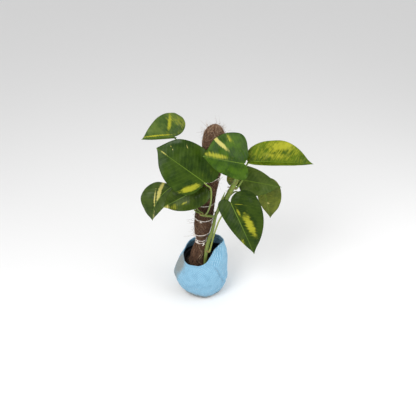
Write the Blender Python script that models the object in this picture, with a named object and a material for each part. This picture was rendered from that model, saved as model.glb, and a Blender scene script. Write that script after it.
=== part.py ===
"""Golden pothos on a coir pole, in its nursery pot inside a lined woven wrapper bag.

Metres, +Z up. The origin is the middle of the flat base of the wrapper. The plant faces -Y.
"""
from math import cos, exp, pi, radians, sin, sqrt, tan

import bmesh
import bpy
import numpy as np
from mathutils import Vector

# ---------------------------------------------------------------- driving sizes
GAP = 0.0003                 # clearance left between touching pieces

WRAP_WALL = 0.0025           # thickness of the woven wrapper
WRAP_BASE_SLACK = 0.0075     # room between the wrapper and the foot of the pot
WRAP_BELLY_SLACK = 0.020     # room between the slumped belly and the pot's rim
WRAP_OVER_POT = 0.0263       # mean height of the wrapper's rim above the pot's
WRAP_NECK = 0.01416          # height of the drawn-in neck below the rim
WRAP_RIM_RISE = 0.0179       # how much the rim climbs towards the back right
WRAP_RISE_TOWARDS = radians(39)
WRAP_CORNER_RISE = 0.018     # the peaked corner at the right
WRAP_CORNER_TOWARDS = radians(-5)
WRAP_CORNER_SPREAD = radians(33)
WRAP_FLAT = 0.40             # share of the radius by which the rim is pulled in at the front right
WRAP_FLAT_TOWARDS = radians(-49)
WRAP_FLAT_SPREAD = radians(40)
WRAP_BASE_X = 0.006
WRAP_BELLY_X = -0.004
WRAP_RIM_X = 0.0044
WRAP_SEGMENTS = 36

LINER_GAP = 0.0005           # slack between the film and the wrapper
LINER_WALL = 0.0008          # plastic film inside the wrapper

POT_BASE_RADIUS = 0.036
POT_RIM_RADIUS = 0.0475
POT_WALL = 0.0012
POT_HEIGHT = 0.091
POT_LIP_HEIGHT = 0.007
POT_LIP_OUT = 0.0022
POT_X = 0.003
DRAIN_HOLES = 6
DRAIN_RADIUS = 0.004
DRAIN_CIRCLE = 0.022
ROUND_SEGMENTS = 40

SOIL_DROP = 0.012            # soil surface below the pot's rim
CUTTER_REACH = 0.02          # how far the cutters of the soil's holes stand above it

PLANT_DATUM = 0.0831         # the plant's heights count from this far below the soil's surface

POLE_FOOT_X = -0.018         # where the pole's axis meets the base plane
POLE_LEAN = 0.105            # sideways run for each metre of height
STAKE_RADIUS = 0.006
STAKE_DEPTH = 0.060          # how far the stake goes into the soil
STAKE_TOP = 0.440
SLEEVE_SEGMENTS = 24
# height and radius of the coir wrap, from the loose skirt to the rounded top
SLEEVE_PROFILE = [
    (0.0, 0.0190), (0.095, 0.0205), (0.112, 0.0200), (0.132, 0.0160), (0.147, 0.0125),
    (0.165, 0.0125), (0.178, 0.0175), (0.195, 0.0205), (0.215, 0.0215), (0.240, 0.0220),
    (0.270, 0.0210), (0.300, 0.0220), (0.330, 0.0250), (0.352, 0.0255), (0.380, 0.0225),
    (0.405, 0.0220), (0.430, 0.0245), (0.448, 0.0235), (0.460, 0.0170), (0.468, 0.0070),
]

TIE_RADIUS = 0.0011          # half the thickness of the string
# height on the pole, and rise towards the right
TIES = {
    "tie_waist_lower": (0.1520, 0.06),
    "tie_waist_upper": (0.1590, -0.06),
    "tie_lower": (0.1800, 0.10),
    "tie_middle": (0.2260, -0.05),
    "tie_shoot": (0.2680, 0.10),
    "tie_upper": (0.3370, 0.28),
}

LEAF_THICKNESS = 0.0009
NOTCH = 0.002                # from the petiole's seat to the notch between the lobes
KEEL = 0.003                 # half width of the rounded fold along the midrib
LEAF_BACK_STEPS = 5
LEAF_FRONT_STEPS = 8
LEAF_RINGS = 4

PETIOLE_SIDES = 2            # bevel resolution of the tubes
ROUTE_STEP = 2.6             # tube points lie this many diameters apart
TUBE_FLAT = 0.97             # a tube's faces lie a little inside its round radius

# ---------------------------------------------------------------- sizes that follow from them
WRAP_BASE_RADIUS = POT_BASE_RADIUS + WRAP_BASE_SLACK + WRAP_WALL
WRAP_BELLY_RADIUS = POT_RIM_RADIUS + WRAP_BELLY_SLACK + WRAP_WALL
WRAP_RIM_RADIUS = POT_RIM_RADIUS + POT_LIP_OUT + WRAP_WALL
POT_FLOOR = WRAP_WALL + LINER_GAP + LINER_WALL + GAP
WRAP_RIM_HEIGHT = POT_FLOOR + POT_HEIGHT + WRAP_OVER_POT
SOIL_TOP = POT_FLOOR + POT_HEIGHT - SOIL_DROP

# ---------------------------------------------------------------- hand-set layout
# All of the plant and its pole is laid out in the plant's own frame, which stands on the soil.
# Each blade: seat of the petiole, tip, direction the upper side faces, then for the left and the
# right half: width, lobe, place of the widest part, fullness towards the tip, fold in degrees.
# "arch" is the rise of the midrib over its chord and "cup" the drop of the margins.
LEAVES = {
    "leaf_top_left": dict(
        seat=(-0.063, 0.020, 0.431), tip=(-0.131, 0.000, 0.433), face=(0.1, -0.8, 0.8),
        left=(0.022, 0.008, 0.15, 0.3, 62), right=(0.055, 0.042, 0.0, 0.15, 10),
        arch=0.004, cup=0.004),
    "leaf_large_left": dict(
        seat=(0.005, -0.058, 0.362), tip=(-0.096, -0.028, 0.428), face=(-0.1, -0.8, 0.6),
        left=(0.053, 0.007, 0.30, 0.45, 8), right=(0.060, 0.030, 0.30, 0.90, 8),
        arch=0.004, cup=0.004),
    "leaf_lower_left": dict(
        seat=(0.000, -0.040, 0.334), tip=(-0.088, -0.052, 0.287), face=(-0.1, -0.85, 0.5),
        left=(0.038, 0.020, 0.20, 0.3, 8), right=(0.036, 0.018, 0.20, 0.3, 8),
        arch=0.005, cup=0.004),
    "leaf_far_left": dict(
        seat=(-0.072, 0.010, 0.302), tip=(-0.115, -0.030, 0.234), face=(-0.5, -0.7, 0.5),
        left=(0.030, 0.012, 0.20, 0.3, 10), right=(0.046, 0.006, 0.40, 0.6, 10),
        arch=0.024, cup=0.004),
    "leaf_centre": dict(
        seat=(0.0915, -0.052, 0.403), tip=(0.005, -0.086, 0.4405), face=(0.1, -0.8, 0.6),
        left=(0.044, 0.014, 0.15, 0.6, 30), right=(0.063, 0.012, 0.20, 0.8, 8),
        arch=0.0, cup=0.003),
    "leaf_right": dict(
        seat=(0.106, -0.030, 0.396), tip=(0.250, -0.030, 0.389), face=(0.0, -0.7, 0.7),
        left=(0.049, 0.012, 0.45, 0.25, 8), right=(0.030, 0.008, 0.30, 0.3, 61),
        arch=0.004, cup=0.004),
    "leaf_right_dark": dict(
        seat=(0.097, 0.012, 0.322), tip=(0.190, 0.006, 0.305), face=(0.2, -0.8, 0.5),
        left=(0.034, 0.012, 0.05, 0.0, 6), right=(0.034, 0.010, 0.25, 0.0, 10),
        arch=0.003, cup=0.002),
    "leaf_olive": dict(
        seat=(0.146, 0.030, 0.300), tip=(0.169, 0.020, 0.206), face=(0.2, -0.8, 0.2),
        left=(0.040, 0.015, 0.35, 0.4, 10), right=(0.020, 0.012, 0.30, 0.0, 10),
        arch=0.004, cup=0.003),
    "leaf_lower_right": dict(
        seat=(0.070, -0.040, 0.288), tip=(0.125, -0.080, 0.173), face=(0.1, -0.8, 0.5),
        left=(0.061, 0.027, 0.15, 0.35, 8), right=(0.034, 0.024, 0.0, 0.1, 16),
        arch=0.006, cup=0.004),
    "leaf_back": dict(
        seat=(0.0945, 0.040, 0.333), tip=(0.0665, 0.054, 0.279), face=(0.1, -0.8, 0.5),
        left=(0.030, 0.015, 0.20, 0.4, 10), right=(0.022, 0.015, 0.20, 0.4, 10),
        arch=0.005, cup=0.003),
}

# Main vine: hand-set route from its root in the soil to its growing end, with its thickness.
VINE_ROUTE = [
    (0.009, -0.021, 0.050), (0.009, -0.021, 0.088), (0.010, -0.020, 0.112), (0.013, -0.017, 0.138),
    (0.018, -0.013, 0.162), (0.0252, -0.0112, 0.184), (0.0295, -0.010, 0.205), (0.0325, -0.010, 0.224),
    (0.036, -0.011, 0.241), (0.043, -0.012, 0.256), (0.052, -0.012, 0.271), (0.061, -0.012, 0.290),
    (0.070, -0.013, 0.311), (0.080, -0.014, 0.335), (0.084, -0.0145, 0.345),
]
VINE_RADII = [
    0.0042, 0.0042, 0.0043, 0.0045, 0.0047, 0.0042, 0.0040, 0.0038,
    0.0038, 0.0042, 0.0055, 0.0062, 0.0060, 0.0052, 0.0042,
]
# Side shoot that lies across the front of the pole.
SHOOT_ROUTE = [
    (0.0300, -0.0180, 0.2375), (0.0250, -0.0240, 0.2430), (0.0160, -0.0275, 0.2470),
    (0.0060, -0.0280, 0.2490), (-0.0040, -0.0270, 0.2500),
]
SHOOT_RADII = [0.0030, 0.0032, 0.0032, 0.0030, 0.0024]

# Petioles: the stem it leaves, how far along it and which way it sets off, the points it then
# passes, the leaf it carries, and its radius at the foot and at the leaf.
PETIOLES = {
    "petiole_large_left": dict(
        stem="shoot", along=0.62, away=(0.15, -0.5, 1.0),
        via=[(0.0150, -0.0370, 0.2640), (0.0215, -0.0465, 0.2925), (0.0235, -0.0555, 0.3260),
             (0.0215, -0.0600, 0.3460), (0.0135, -0.0615, 0.3540)],
        leaf="leaf_large_left", radius=(0.0020, 0.0015)),
    "petiole_lower_left": dict(
        stem="shoot", along=0.97, away=(-0.5, -0.1, 1.0),
        via=[(-0.0135, -0.0265, 0.2600), (-0.0190, -0.0265, 0.2760), (-0.0170, -0.0270, 0.3030),
             (-0.0060, -0.0290, 0.3200)],
        leaf="leaf_lower_left", radius=(0.0018, 0.0014)),
    "petiole_far_left": dict(
        stem="shoot", along=0.80, away=(-0.2, 0.1, 1.0),
        via=[(-0.0075, -0.0270, 0.2640), (-0.0160, -0.0220, 0.2820), (-0.0380, -0.0060, 0.2960),
             (-0.0600, 0.0060, 0.2990)],
        leaf="leaf_far_left", radius=(0.0016, 0.0013)),
    "petiole_top_left": dict(
        stem="pole", along=0.318, away=(-0.8, 0.6, 0.0),
        via=[(-0.0200, 0.0200, 0.3330), (-0.0300, 0.0200, 0.3700), (-0.0430, 0.0190, 0.4050),
             (-0.0540, 0.0190, 0.4230)],
        leaf="leaf_top_left", radius=(0.0017, 0.0012)),
    "petiole_lower_right": dict(
        stem="vine", along=0.27, away=(0.8, -0.6, 0.2),
        via=[(0.0215, -0.0235, 0.1420), (0.0260, -0.0230, 0.1640), (0.0310, -0.0250, 0.1900),
             (0.0370, -0.0290, 0.2160), (0.0430, -0.0330, 0.2380), (0.0520, -0.0370, 0.2600),
             (0.0620, -0.0400, 0.2760)],
        leaf="leaf_lower_right", radius=(0.0024, 0.0017)),
    "petiole_right": dict(
        stem="vine", along=0.90, away=(1.0, -0.2, 0.1),
        via=[(0.0935, -0.0170, 0.3380), (0.0965, -0.0200, 0.3540), (0.0970, -0.0250, 0.3700),
             (0.1000, -0.0300, 0.3840)],
        leaf="leaf_right", radius=(0.0025, 0.0018)),
    "petiole_centre": dict(
        stem="vine", along=0.95, away=(-0.4, -0.9, 0.2),
        via=[(0.0800, -0.0290, 0.3540), (0.0830, -0.0400, 0.3720), (0.0880, -0.0480, 0.3890)],
        leaf="leaf_centre", radius=(0.0028, 0.0020)),
    "petiole_right_dark": dict(
        stem="vine", along=0.86, away=(-0.1, 1.0, 0.0),
        via=[(0.0770, 0.0060, 0.3150), (0.0860, 0.0200, 0.3130)],
        leaf="leaf_right_dark", radius=(0.0022, 0.0017)),
    "petiole_olive": dict(
        stem="vine", along=0.78, away=(0.6, 0.8, 0.0),
        via=[(0.0790, -0.0010, 0.2970), (0.0980, 0.0110, 0.2860), (0.1240, 0.0300, 0.2860),
             (0.1390, 0.0400, 0.2950)],
        leaf="leaf_olive", radius=(0.0020, 0.0014)),
    "petiole_back": dict(
        stem="vine", along=0.975, away=(-0.8, 0.7, 0.1),
        via=[(0.0740, -0.0010, 0.3490), (0.0760, 0.0140, 0.3600), (0.0840, 0.0340, 0.3640),
             (0.0930, 0.0520, 0.3560), (0.0970, 0.0530, 0.3430)],
        leaf="leaf_back", radius=(0.0017, 0.0013)),
}

# Young rolled leaf beside the vine.
SPEAR_FOOT = dict(stem="vine", along=0.64, away=(-0.3, -0.9, 0.3))
SPEAR_TIP = (0.055, -0.026, 0.313)
SPEAR_RADIUS = 0.0034


# ---------------------------------------------------------------- materials
def principled(name, colour, roughness, metallic=0.0):
    """A plain Principled material."""
    mat = bpy.data.materials.new(name)
    mat.use_nodes = True
    shader = mat.node_tree.nodes["Principled BSDF"]
    shader.inputs["Base Color"].default_value = (*colour, 1.0)
    shader.inputs["Roughness"].default_value = roughness
    shader.inputs["Metallic"].default_value = metallic
    return mat


def make_materials():
    """One material for each finish on the object."""
    return {
        "wrapper": principled("woven_blue", (0.33, 0.60, 0.85), 0.85),
        "liner": principled("liner_film", (0.015, 0.02, 0.035), 0.45),
        "pot": principled("pot_plastic", (0.02, 0.02, 0.02), 0.5),
        "soil": principled("potting_soil", (0.04, 0.025, 0.015), 0.95),
        "stake": principled("stake_wood", (0.30, 0.18, 0.09), 0.8),
        "coir": principled("coir_fibre", (0.14, 0.065, 0.035), 0.95),
        "string": principled("string_white", (0.80, 0.74, 0.68), 0.8),
        "stem": principled("stem_green", (0.32, 0.45, 0.08), 0.45),
        "leaf": principled("leaf_green", (0.07, 0.20, 0.02), 0.35),
    }


# ---------------------------------------------------------------- mesh helpers
def link_mesh(name, bm, mat, smooth=True):
    """Turn a bmesh into a named object with outward faces."""
    bmesh.ops.recalc_face_normals(bm, faces=bm.faces)
    mesh = bpy.data.meshes.new(name)
    bm.to_mesh(mesh)
    bm.free()
    mesh.materials.append(mat)
    if smooth:
        mesh.shade_smooth()
        mesh.set_sharp_from_angle(angle=radians(40))
    obj = bpy.data.objects.new(name, mesh)
    bpy.context.collection.objects.link(obj)
    return obj


def loft(name, rings, mat, smooth=True):
    """Skin a closed solid over rings of points and cap its first and last ring."""
    bm = bmesh.new()
    loops = [[bm.verts.new(point) for point in ring] for ring in rings]
    count = len(loops[0])
    for low, high in zip(loops, loops[1:]):
        for i in range(count):
            j = (i + 1) % count
            bm.faces.new((low[i], low[j], high[j], high[i]))
    bm.faces.new(loops[0][::-1])
    bm.faces.new(loops[-1])
    return link_mesh(name, bm, mat, smooth)


def circle(x, y, z, radius, segments):
    """Points of a level circle."""
    return [
        (x + radius * cos(2 * pi * i / segments), y + radius * sin(2 * pi * i / segments), z)
        for i in range(segments)
    ]


def smooth_route(points, values, step):
    """Read a Catmull-Rom curve through the points, about one point per step, with its radii."""
    knots = [Vector(p) for p in points]
    ends = [2 * knots[0] - knots[1]] + knots + [2 * knots[-1] - knots[-2]]
    route = [knots[0].copy()]
    radii = [values[0]]
    for k in range(len(knots) - 1):
        a, b, c, d = ends[k:k + 4]
        pieces = max(1, round((c - b).length / step))
        for i in range(1, pieces + 1):
            t = i / pieces
            point = 0.5 * (2 * b + (c - a) * t + (2 * a - 5 * b + 4 * c - d) * t ** 2
                           + (3 * b - a - 3 * c + d) * t ** 3)
            route.append(point)
            radii.append(values[k] + (values[k + 1] - values[k]) * t)
    return route, radii


def tube(name, route, radii, mat, closed=False):
    """A round tube with the given radius at each point of its route."""
    curve = bpy.data.curves.new(name, "CURVE")
    curve.dimensions = "3D"
    curve.bevel_depth = 1.0
    curve.bevel_resolution = PETIOLE_SIDES
    curve.use_fill_caps = True
    spline = curve.splines.new("POLY")
    spline.points.add(len(route) - 1)
    for point, place, radius in zip(spline.points, route, radii):
        point.co = (*place, 1.0)
        point.radius = radius
    spline.use_cyclic_u = closed
    curve.materials.append(mat)
    obj = bpy.data.objects.new(name, curve)
    bpy.context.collection.objects.link(obj)
    return obj


def cut(target, cutter):
    """Take a hidden cutter out of a solid."""
    cutter.hide_render = True
    cutter.display_type = "WIRE"
    modifier = target.modifiers.new("cut_" + cutter.name, "BOOLEAN")
    modifier.operation = "DIFFERENCE"
    modifier.object = cutter


# ---------------------------------------------------------------- wrapper and liner
WRAP_SHARES = [0.0, 0.12, 0.30, 0.50, 0.70, 1 - WRAP_NECK / WRAP_RIM_HEIGHT, 1.0]


def near(angle, towards, spread):
    """One at a direction, falling smoothly to nothing around it."""
    turn = (angle - towards + pi) % (2 * pi) - pi
    return exp(-(turn / spread) ** 2)


def wrap_rim_height(angle):
    """Height of the wrapper's rim at an angle around it."""
    climb = WRAP_RIM_RISE * cos(angle - WRAP_RISE_TOWARDS)
    corner = WRAP_CORNER_RISE * near(angle, WRAP_CORNER_TOWARDS, WRAP_CORNER_SPREAD)
    return WRAP_RIM_HEIGHT + climb + corner


def wrap_radius(share):
    """Outer radius of the wrapper at a share of its height."""
    belly = WRAP_BELLY_RADIUS
    radii = [
        WRAP_BASE_RADIUS,
        WRAP_BASE_RADIUS + 0.40 * (belly - WRAP_BASE_RADIUS),
        WRAP_BASE_RADIUS + 0.85 * (belly - WRAP_BASE_RADIUS),
        belly,
        WRAP_RIM_RADIUS + 0.80 * (belly - WRAP_RIM_RADIUS),
        WRAP_RIM_RADIUS + 0.35 * (belly - WRAP_RIM_RADIUS),
        WRAP_RIM_RADIUS,
    ]
    return float(np.interp(share, WRAP_SHARES, radii))


def wrap_centre(share):
    """Sideways place of the wrapper's middle at a share of its height."""
    return float(np.interp(share, [0.0, 0.5, 1.0], [WRAP_BASE_X, WRAP_BELLY_X, WRAP_RIM_X]))


def wrap_ring(share, inset):
    """Ring of the wrapper at a share of its height, pulled in by an inset."""
    neck = WRAP_SHARES[-2]
    pulled = WRAP_FLAT * max(0.0, share - neck) / (1 - neck)
    ring = []
    for i in range(WRAP_SEGMENTS):
        angle = 2 * pi * i / WRAP_SEGMENTS
        flat = 1 - pulled * near(angle, WRAP_FLAT_TOWARDS, WRAP_FLAT_SPREAD)
        radius = wrap_radius(share) * flat - inset
        x = wrap_centre(share) + radius * cos(angle)
        ring.append((x, radius * sin(angle), share * wrap_rim_height(angle)))
    return ring


def wrap_floor(height, inset):
    """Level ring just above the wrapper's floor."""
    share = height / WRAP_RIM_HEIGHT
    return circle(wrap_centre(share), 0.0, height, wrap_radius(0.0) - inset, WRAP_SEGMENTS)


def make_wrapper(mat):
    """The woven bag: an open shell with a flat base."""
    outside = [wrap_ring(share, 0.0) for share in WRAP_SHARES]
    inside = [wrap_ring(share, WRAP_WALL) for share in reversed(WRAP_SHARES[1:])]
    return loft("wrapper", outside + inside + [wrap_floor(WRAP_WALL, WRAP_WALL)], mat)


def make_liner(mat):
    """The plastic film that lines the bag up to its neck."""
    shares = WRAP_SHARES[1:-1]
    outer = WRAP_WALL + LINER_GAP
    inner = outer + LINER_WALL
    rings = [wrap_floor(outer, outer)]
    rings += [wrap_ring(share, outer) for share in shares]
    rings += [wrap_ring(share, inner) for share in reversed(shares)]
    rings.append(wrap_floor(inner, inner))
    return loft("wrapper_liner", rings, mat)


# ---------------------------------------------------------------- nursery pot and soil
def pot_radius(height):
    """Outer radius of the pot's wall at a height above its floor."""
    return POT_BASE_RADIUS + (POT_RIM_RADIUS - POT_BASE_RADIUS) * height / POT_HEIGHT


def pot_ring(height, offset):
    """Level ring of the pot, pushed out by an offset."""
    radius = pot_radius(height) + offset
    return circle(POT_X, 0.0, POT_FLOOR + height, radius, ROUND_SEGMENTS)


def make_pot(mat):
    """The thin black nursery pot with a turned-out lip and drain holes."""
    lip = POT_HEIGHT - POT_LIP_HEIGHT
    rings = [
        pot_ring(0.0, 0.0), pot_ring(lip, 0.0), pot_ring(lip, POT_LIP_OUT),
        pot_ring(POT_HEIGHT, POT_LIP_OUT), pot_ring(POT_HEIGHT, -POT_WALL),
        pot_ring(POT_WALL, -POT_WALL),
    ]
    pot = loft("nursery_pot", rings, mat)
    for k in range(DRAIN_HOLES):
        angle = 2 * pi * k / DRAIN_HOLES
        x = POT_X + DRAIN_CIRCLE * cos(angle)
        y = DRAIN_CIRCLE * sin(angle)
        low = circle(x, y, POT_FLOOR - POT_WALL, DRAIN_RADIUS, 10)
        high = circle(x, y, POT_FLOOR + 2 * POT_WALL, DRAIN_RADIUS, 10)
        cut(pot, loft(f"drain_cutter_{k}", [low, high], mat))
    return pot


def make_soil(mat, plant):
    """The root ball, filling the pot, with a hole for the stake and one for the vine."""
    floor = POT_WALL + GAP
    inset = -POT_WALL - GAP
    top = SOIL_TOP - POT_FLOOR
    soil = loft("soil", [pot_ring(floor, inset), pot_ring(top, inset)], mat)
    above = PLANT_DATUM + CUTTER_REACH
    bottom = PLANT_DATUM - STAKE_DEPTH - GAP
    hole = STAKE_RADIUS + GAP
    stake_cutter = loft("stake_cutter", [pole_circle(bottom, hole), pole_circle(above, hole)], mat)
    x, y, z = VINE_ROUTE[0]
    hole = VINE_RADII[0] + GAP
    low = circle(x, y, z - GAP, hole, 16)
    high = circle(x, y, above, hole, 16)
    vine_cutter = loft("vine_cutter", [low, high], mat)
    for cutter in (stake_cutter, vine_cutter):
        cutter.parent = plant
        cut(soil, cutter)
    return soil


# ---------------------------------------------------------------- pole, coir wrap and ties
def pole_x(z):
    """Sideways place of the leaning pole's axis at a height."""
    return POLE_FOOT_X + POLE_LEAN * z


def pole_circle(z, radius, segments=16):
    """Level ring around the pole's axis."""
    return circle(pole_x(z), 0.0, z, radius, segments)


def sleeve_radius(z, angle):
    """Outer radius of the coir wrap, slightly lobed because it is wrapped by hand."""
    heights = [h for h, _ in SLEEVE_PROFILE]
    radii = [r for _, r in SLEEVE_PROFILE]
    lobes = 1.0 + 0.025 * cos(3 * angle + 1.0) + 0.015 * cos(5 * angle)
    return float(np.interp(z, heights, radii)) * lobes


def sleeve_point(z, angle, away=0.0):
    """Point on the coir wrap, or a distance away from it."""
    radius = sleeve_radius(z, angle) + away
    return (pole_x(z) + radius * cos(angle), radius * sin(angle), z)


def make_stake(mat):
    """The wooden stake inside the coir."""
    ends = (PLANT_DATUM - STAKE_DEPTH, STAKE_TOP)
    return loft("pole_stake", [pole_circle(z, STAKE_RADIUS) for z in ends], mat)


def make_sleeve(mat):
    """The coir wrap, open at the bottom for the stake."""
    foot = PLANT_DATUM + GAP
    levels = [foot] + [h for h, _ in SLEEVE_PROFILE if h > foot + 0.004]
    angles = [2 * pi * i / SLEEVE_SEGMENTS for i in range(SLEEVE_SEGMENTS)]
    bore = STAKE_RADIUS + GAP
    rings = [pole_circle(STAKE_TOP + GAP, bore, SLEEVE_SEGMENTS)]
    rings.append(pole_circle(foot, bore, SLEEVE_SEGMENTS))
    rings += [[sleeve_point(z, a) for a in angles] for z in levels]
    return loft("coir_sleeve", rings, mat)


def make_tie(name, mat):
    """A loop of string that hugs the coir wrap."""
    height, rise = TIES[name]
    route = []
    for i in range(SLEEVE_SEGMENTS):
        angle = 2 * pi * i / SLEEVE_SEGMENTS
        reach = sleeve_radius(height, angle)
        z = height + rise * reach * cos(angle)
        nearby = [h for h, _ in SLEEVE_PROFILE if abs(h - z) < TIE_RADIUS]
        nearby += [z - TIE_RADIUS, z, z + TIE_RADIUS]
        reach = max(sleeve_radius(h, angle) for h in nearby) + TIE_RADIUS + 1.5 * GAP
        route.append((pole_x(z) + reach * cos(angle), reach * sin(angle), z))
    return tube(name, route, [TIE_RADIUS] * len(route), mat, closed=True)


# ---------------------------------------------------------------- leaves
def bezier(p0, p1, p2, p3, steps):
    """Points of a cubic Bezier arc in the plane of a blade."""
    t = np.linspace(0.0, 1.0, steps + 1)[:, None]
    p0, p1, p2, p3 = (np.array(p, float) for p in (p0, p1, p2, p3))
    return (1 - t) ** 3 * p0 + 3 * (1 - t) ** 2 * t * p1 + 3 * (1 - t) * t ** 2 * p2 + t ** 3 * p3


def half_outline(length, width, lobe, belly, full):
    """Margin of half a heart-shaped blade, from the notch round the lobe to the tip."""
    widest = belly * length
    shoulder = (belly + (1 - belly) * (0.45 + 0.3 * full)) * length
    neck = ((0.84 + 0.12 * full) * length, (0.10 + 0.35 * full) * width)
    back = bezier((-NOTCH, 0), (-lobe, 0.05 * width), (-1.15 * lobe, width), (widest, width),
                  LEAF_BACK_STEPS)
    front = bezier((widest, width), (shoulder, width), neck, (length, 0), LEAF_FRONT_STEPS)
    return np.vstack([back, front[1:]])


def leaf_frame(spec):
    """Seat, length, direction of the midrib, upward normal and left side of a blade."""
    seat = np.array(spec["seat"])
    chord = np.array(spec["tip"]) - seat
    length = np.linalg.norm(chord)
    along = chord / length
    face = np.array(spec["face"])
    normal = face - along * (face @ along)
    normal /= np.linalg.norm(normal)
    return seat, length, along, normal, np.cross(normal, along)


def leaf_point(spec, x, y):
    """Carry points of the flat outline onto the arched, folded and cupped blade."""
    seat, length, along, normal, left = leaf_frame(spec)
    share = x / length
    rise = 4 * spec["arch"] * np.where(share > 0, share * (1 - share), share)
    slope = 4 * spec["arch"] / length * np.where(share > 0, 1 - 2 * share, 1.0)
    level = 1 / np.sqrt(1 + slope ** 2)
    fold = np.where(y > 0, tan(radians(spec["left"][4])), tan(radians(spec["right"][4])))
    spread = y / np.sqrt(1 + fold ** 2)
    lift = (np.sqrt(y ** 2 + KEEL ** 2) - KEEL) * fold / np.sqrt(1 + fold ** 2)
    half_width = max(spec["left"][0], spec["right"][0])
    lift = lift - spec["cup"] * (y / half_width) ** 2
    forward = x - lift * slope * level
    height = rise + lift * level
    return (seat + np.multiply.outer(forward, along) + np.multiply.outer(height, normal)
            + np.multiply.outer(spread, left))


def leaf_grid(spec):
    """Rings of points of the blade's middle surface, from near the seat to the margin."""
    length = leaf_frame(spec)[1]
    left = half_outline(length, *spec["left"][:4])
    right = half_outline(length, *spec["right"][:4]) * [1, -1]
    margin = np.vstack([left, right[::-1][1:-1]])
    shares = [(k + 1) / LEAF_RINGS for k in range(LEAF_RINGS)]
    return [leaf_point(spec, margin[:, 0] * s, margin[:, 1] * s) for s in shares]


def make_leaf(name, mat):
    """A thin solid blade: its middle surface thickened both ways along its normals."""
    spec = LEAVES[name]
    grid = leaf_grid(spec)
    seat = Vector(leaf_point(spec, np.zeros(1), np.zeros(1))[0])
    bm = bmesh.new()
    middle = bm.verts.new(seat)
    loops = [[bm.verts.new(point) for point in ring] for ring in grid]
    count = len(loops[0])
    for i in range(count):
        j = (i + 1) % count
        bm.faces.new((middle, loops[0][i], loops[0][j]))
        for low, high in zip(loops, loops[1:]):
            bm.faces.new((low[i], high[i], high[j], low[j]))
    bm.normal_update()
    top = {v: bm.verts.new(v.co + v.normal * LEAF_THICKNESS / 2) for v in list(bm.verts)}
    faces = list(bm.faces)
    for face in faces:
        bm.faces.new([top[v] for v in face.verts])
    for v in top:
        v.co = v.co - v.normal * LEAF_THICKNESS / 2
    rim = loops[-1]
    for i in range(count):
        j = (i + 1) % count
        bm.faces.new((rim[i], rim[j], top[rim[j]], top[rim[i]]))
    return link_mesh(name, bm, mat)


# ---------------------------------------------------------------- stems
def stem_start(stem, along, away):
    """Where a shoot leaves a stem, and the direction in which it sets off."""
    away = Vector(away)
    if stem == "pole":
        angle = float(np.arctan2(away.y, away.x))
        start = Vector(sleeve_point(along, angle, 2 * GAP))
        return start, Vector((cos(angle), sin(angle), 0.0))
    points, radii = {"vine": (VINE_ROUTE, VINE_RADII), "shoot": (SHOOT_ROUTE, SHOOT_RADII)}[stem]
    route, thickness = smooth_route(points, radii, 0.004)
    place = along * (len(route) - 1)
    k = min(int(place), len(route) - 2)
    point = route[k].lerp(route[k + 1], place - k)
    run = (route[k + 1] - route[k]).normalized()
    out = (away - run * away.dot(run)).normalized()
    stem_radius = thickness[k] + (thickness[k + 1] - thickness[k]) * (place - k)
    return point + out * (TUBE_FLAT * stem_radius + GAP), out


def leaf_seat(spec, radius):
    """Underside of the blade where the petiole meets it, and the direction of arrival."""
    seat, length, along, normal, left = leaf_frame(spec)
    slope = 4 * spec["arch"] / length
    up = Vector(normal - slope * along).normalized()
    droop = max(0.0, -tan(radians(min(spec["left"][4], spec["right"][4]))))
    clear = LEAF_THICKNESS / 2 + GAP + droop * (sqrt(radius ** 2 + KEEL ** 2) - KEEL)
    return Vector(seat) - up * clear, up


def make_petiole(name, mat):
    """A tapering leaf stalk from its stem to the notch of its leaf."""
    spec = PETIOLES[name]
    foot, tip = spec["radius"]
    start, out = stem_start(spec["stem"], spec["along"], spec["away"])
    end, up = leaf_seat(LEAVES[spec["leaf"]], tip)
    points = [start, start + out * 1.5 * foot] + [Vector(p) for p in spec["via"]]
    points += [end - up * 2.5 * tip, end]
    shares = np.linspace(0.0, 1.0, len(points))
    values = [foot + (tip - foot) * s for s in shares]
    route, radii = smooth_route(points, values, ROUTE_STEP * (foot + tip))
    return tube(name, route, radii, mat)


def make_stem(name, points, values, mat):
    """A main stem along its hand-set route."""
    route, radii = smooth_route(points, values, ROUTE_STEP * 2 * min(values))
    return tube(name, route, radii, mat)


def make_spear(mat):
    """The young leaf, still rolled into a pointed spindle."""
    start, out = stem_start(**SPEAR_FOOT)
    end = Vector(SPEAR_TIP)
    points = [start, start + out * 0.003, start.lerp(end, 0.4) + out * 0.003, start.lerp(end, 0.7), end]
    values = [0.0018, 0.0022, SPEAR_RADIUS, 0.7 * SPEAR_RADIUS, 0.0005]
    route, radii = smooth_route(points, values, 0.006)
    return tube("leaf_spear", route, radii, mat)


# ---------------------------------------------------------------- assembly
def make_plant(mats):
    """The pole with its ties, and the vine with its leaves, in the plant's own frame."""
    pieces = [make_stake(mats["stake"]), make_sleeve(mats["coir"])]
    pieces += [make_tie(name, mats["string"]) for name in TIES]
    pieces.append(make_stem("vine_stem", VINE_ROUTE, VINE_RADII, mats["stem"]))
    pieces.append(make_stem("side_shoot", SHOOT_ROUTE, SHOOT_RADII, mats["stem"]))
    pieces.append(make_spear(mats["leaf"]))
    pieces += [make_petiole(name, mats["stem"]) for name in PETIOLES]
    pieces += [make_leaf(name, mats["leaf"]) for name in LEAVES]
    return pieces


def main():
    for obj in list(bpy.data.objects):
        bpy.data.objects.remove(obj)
    mats = make_materials()
    plant = bpy.data.objects.new("plant", None)
    bpy.context.collection.objects.link(plant)
    plant.location.z = SOIL_TOP - PLANT_DATUM
    make_wrapper(mats["wrapper"])
    make_liner(mats["liner"])
    make_pot(mats["pot"])
    make_soil(mats["soil"], plant)
    for piece in make_plant(mats):
        piece.parent = plant


main()
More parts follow.
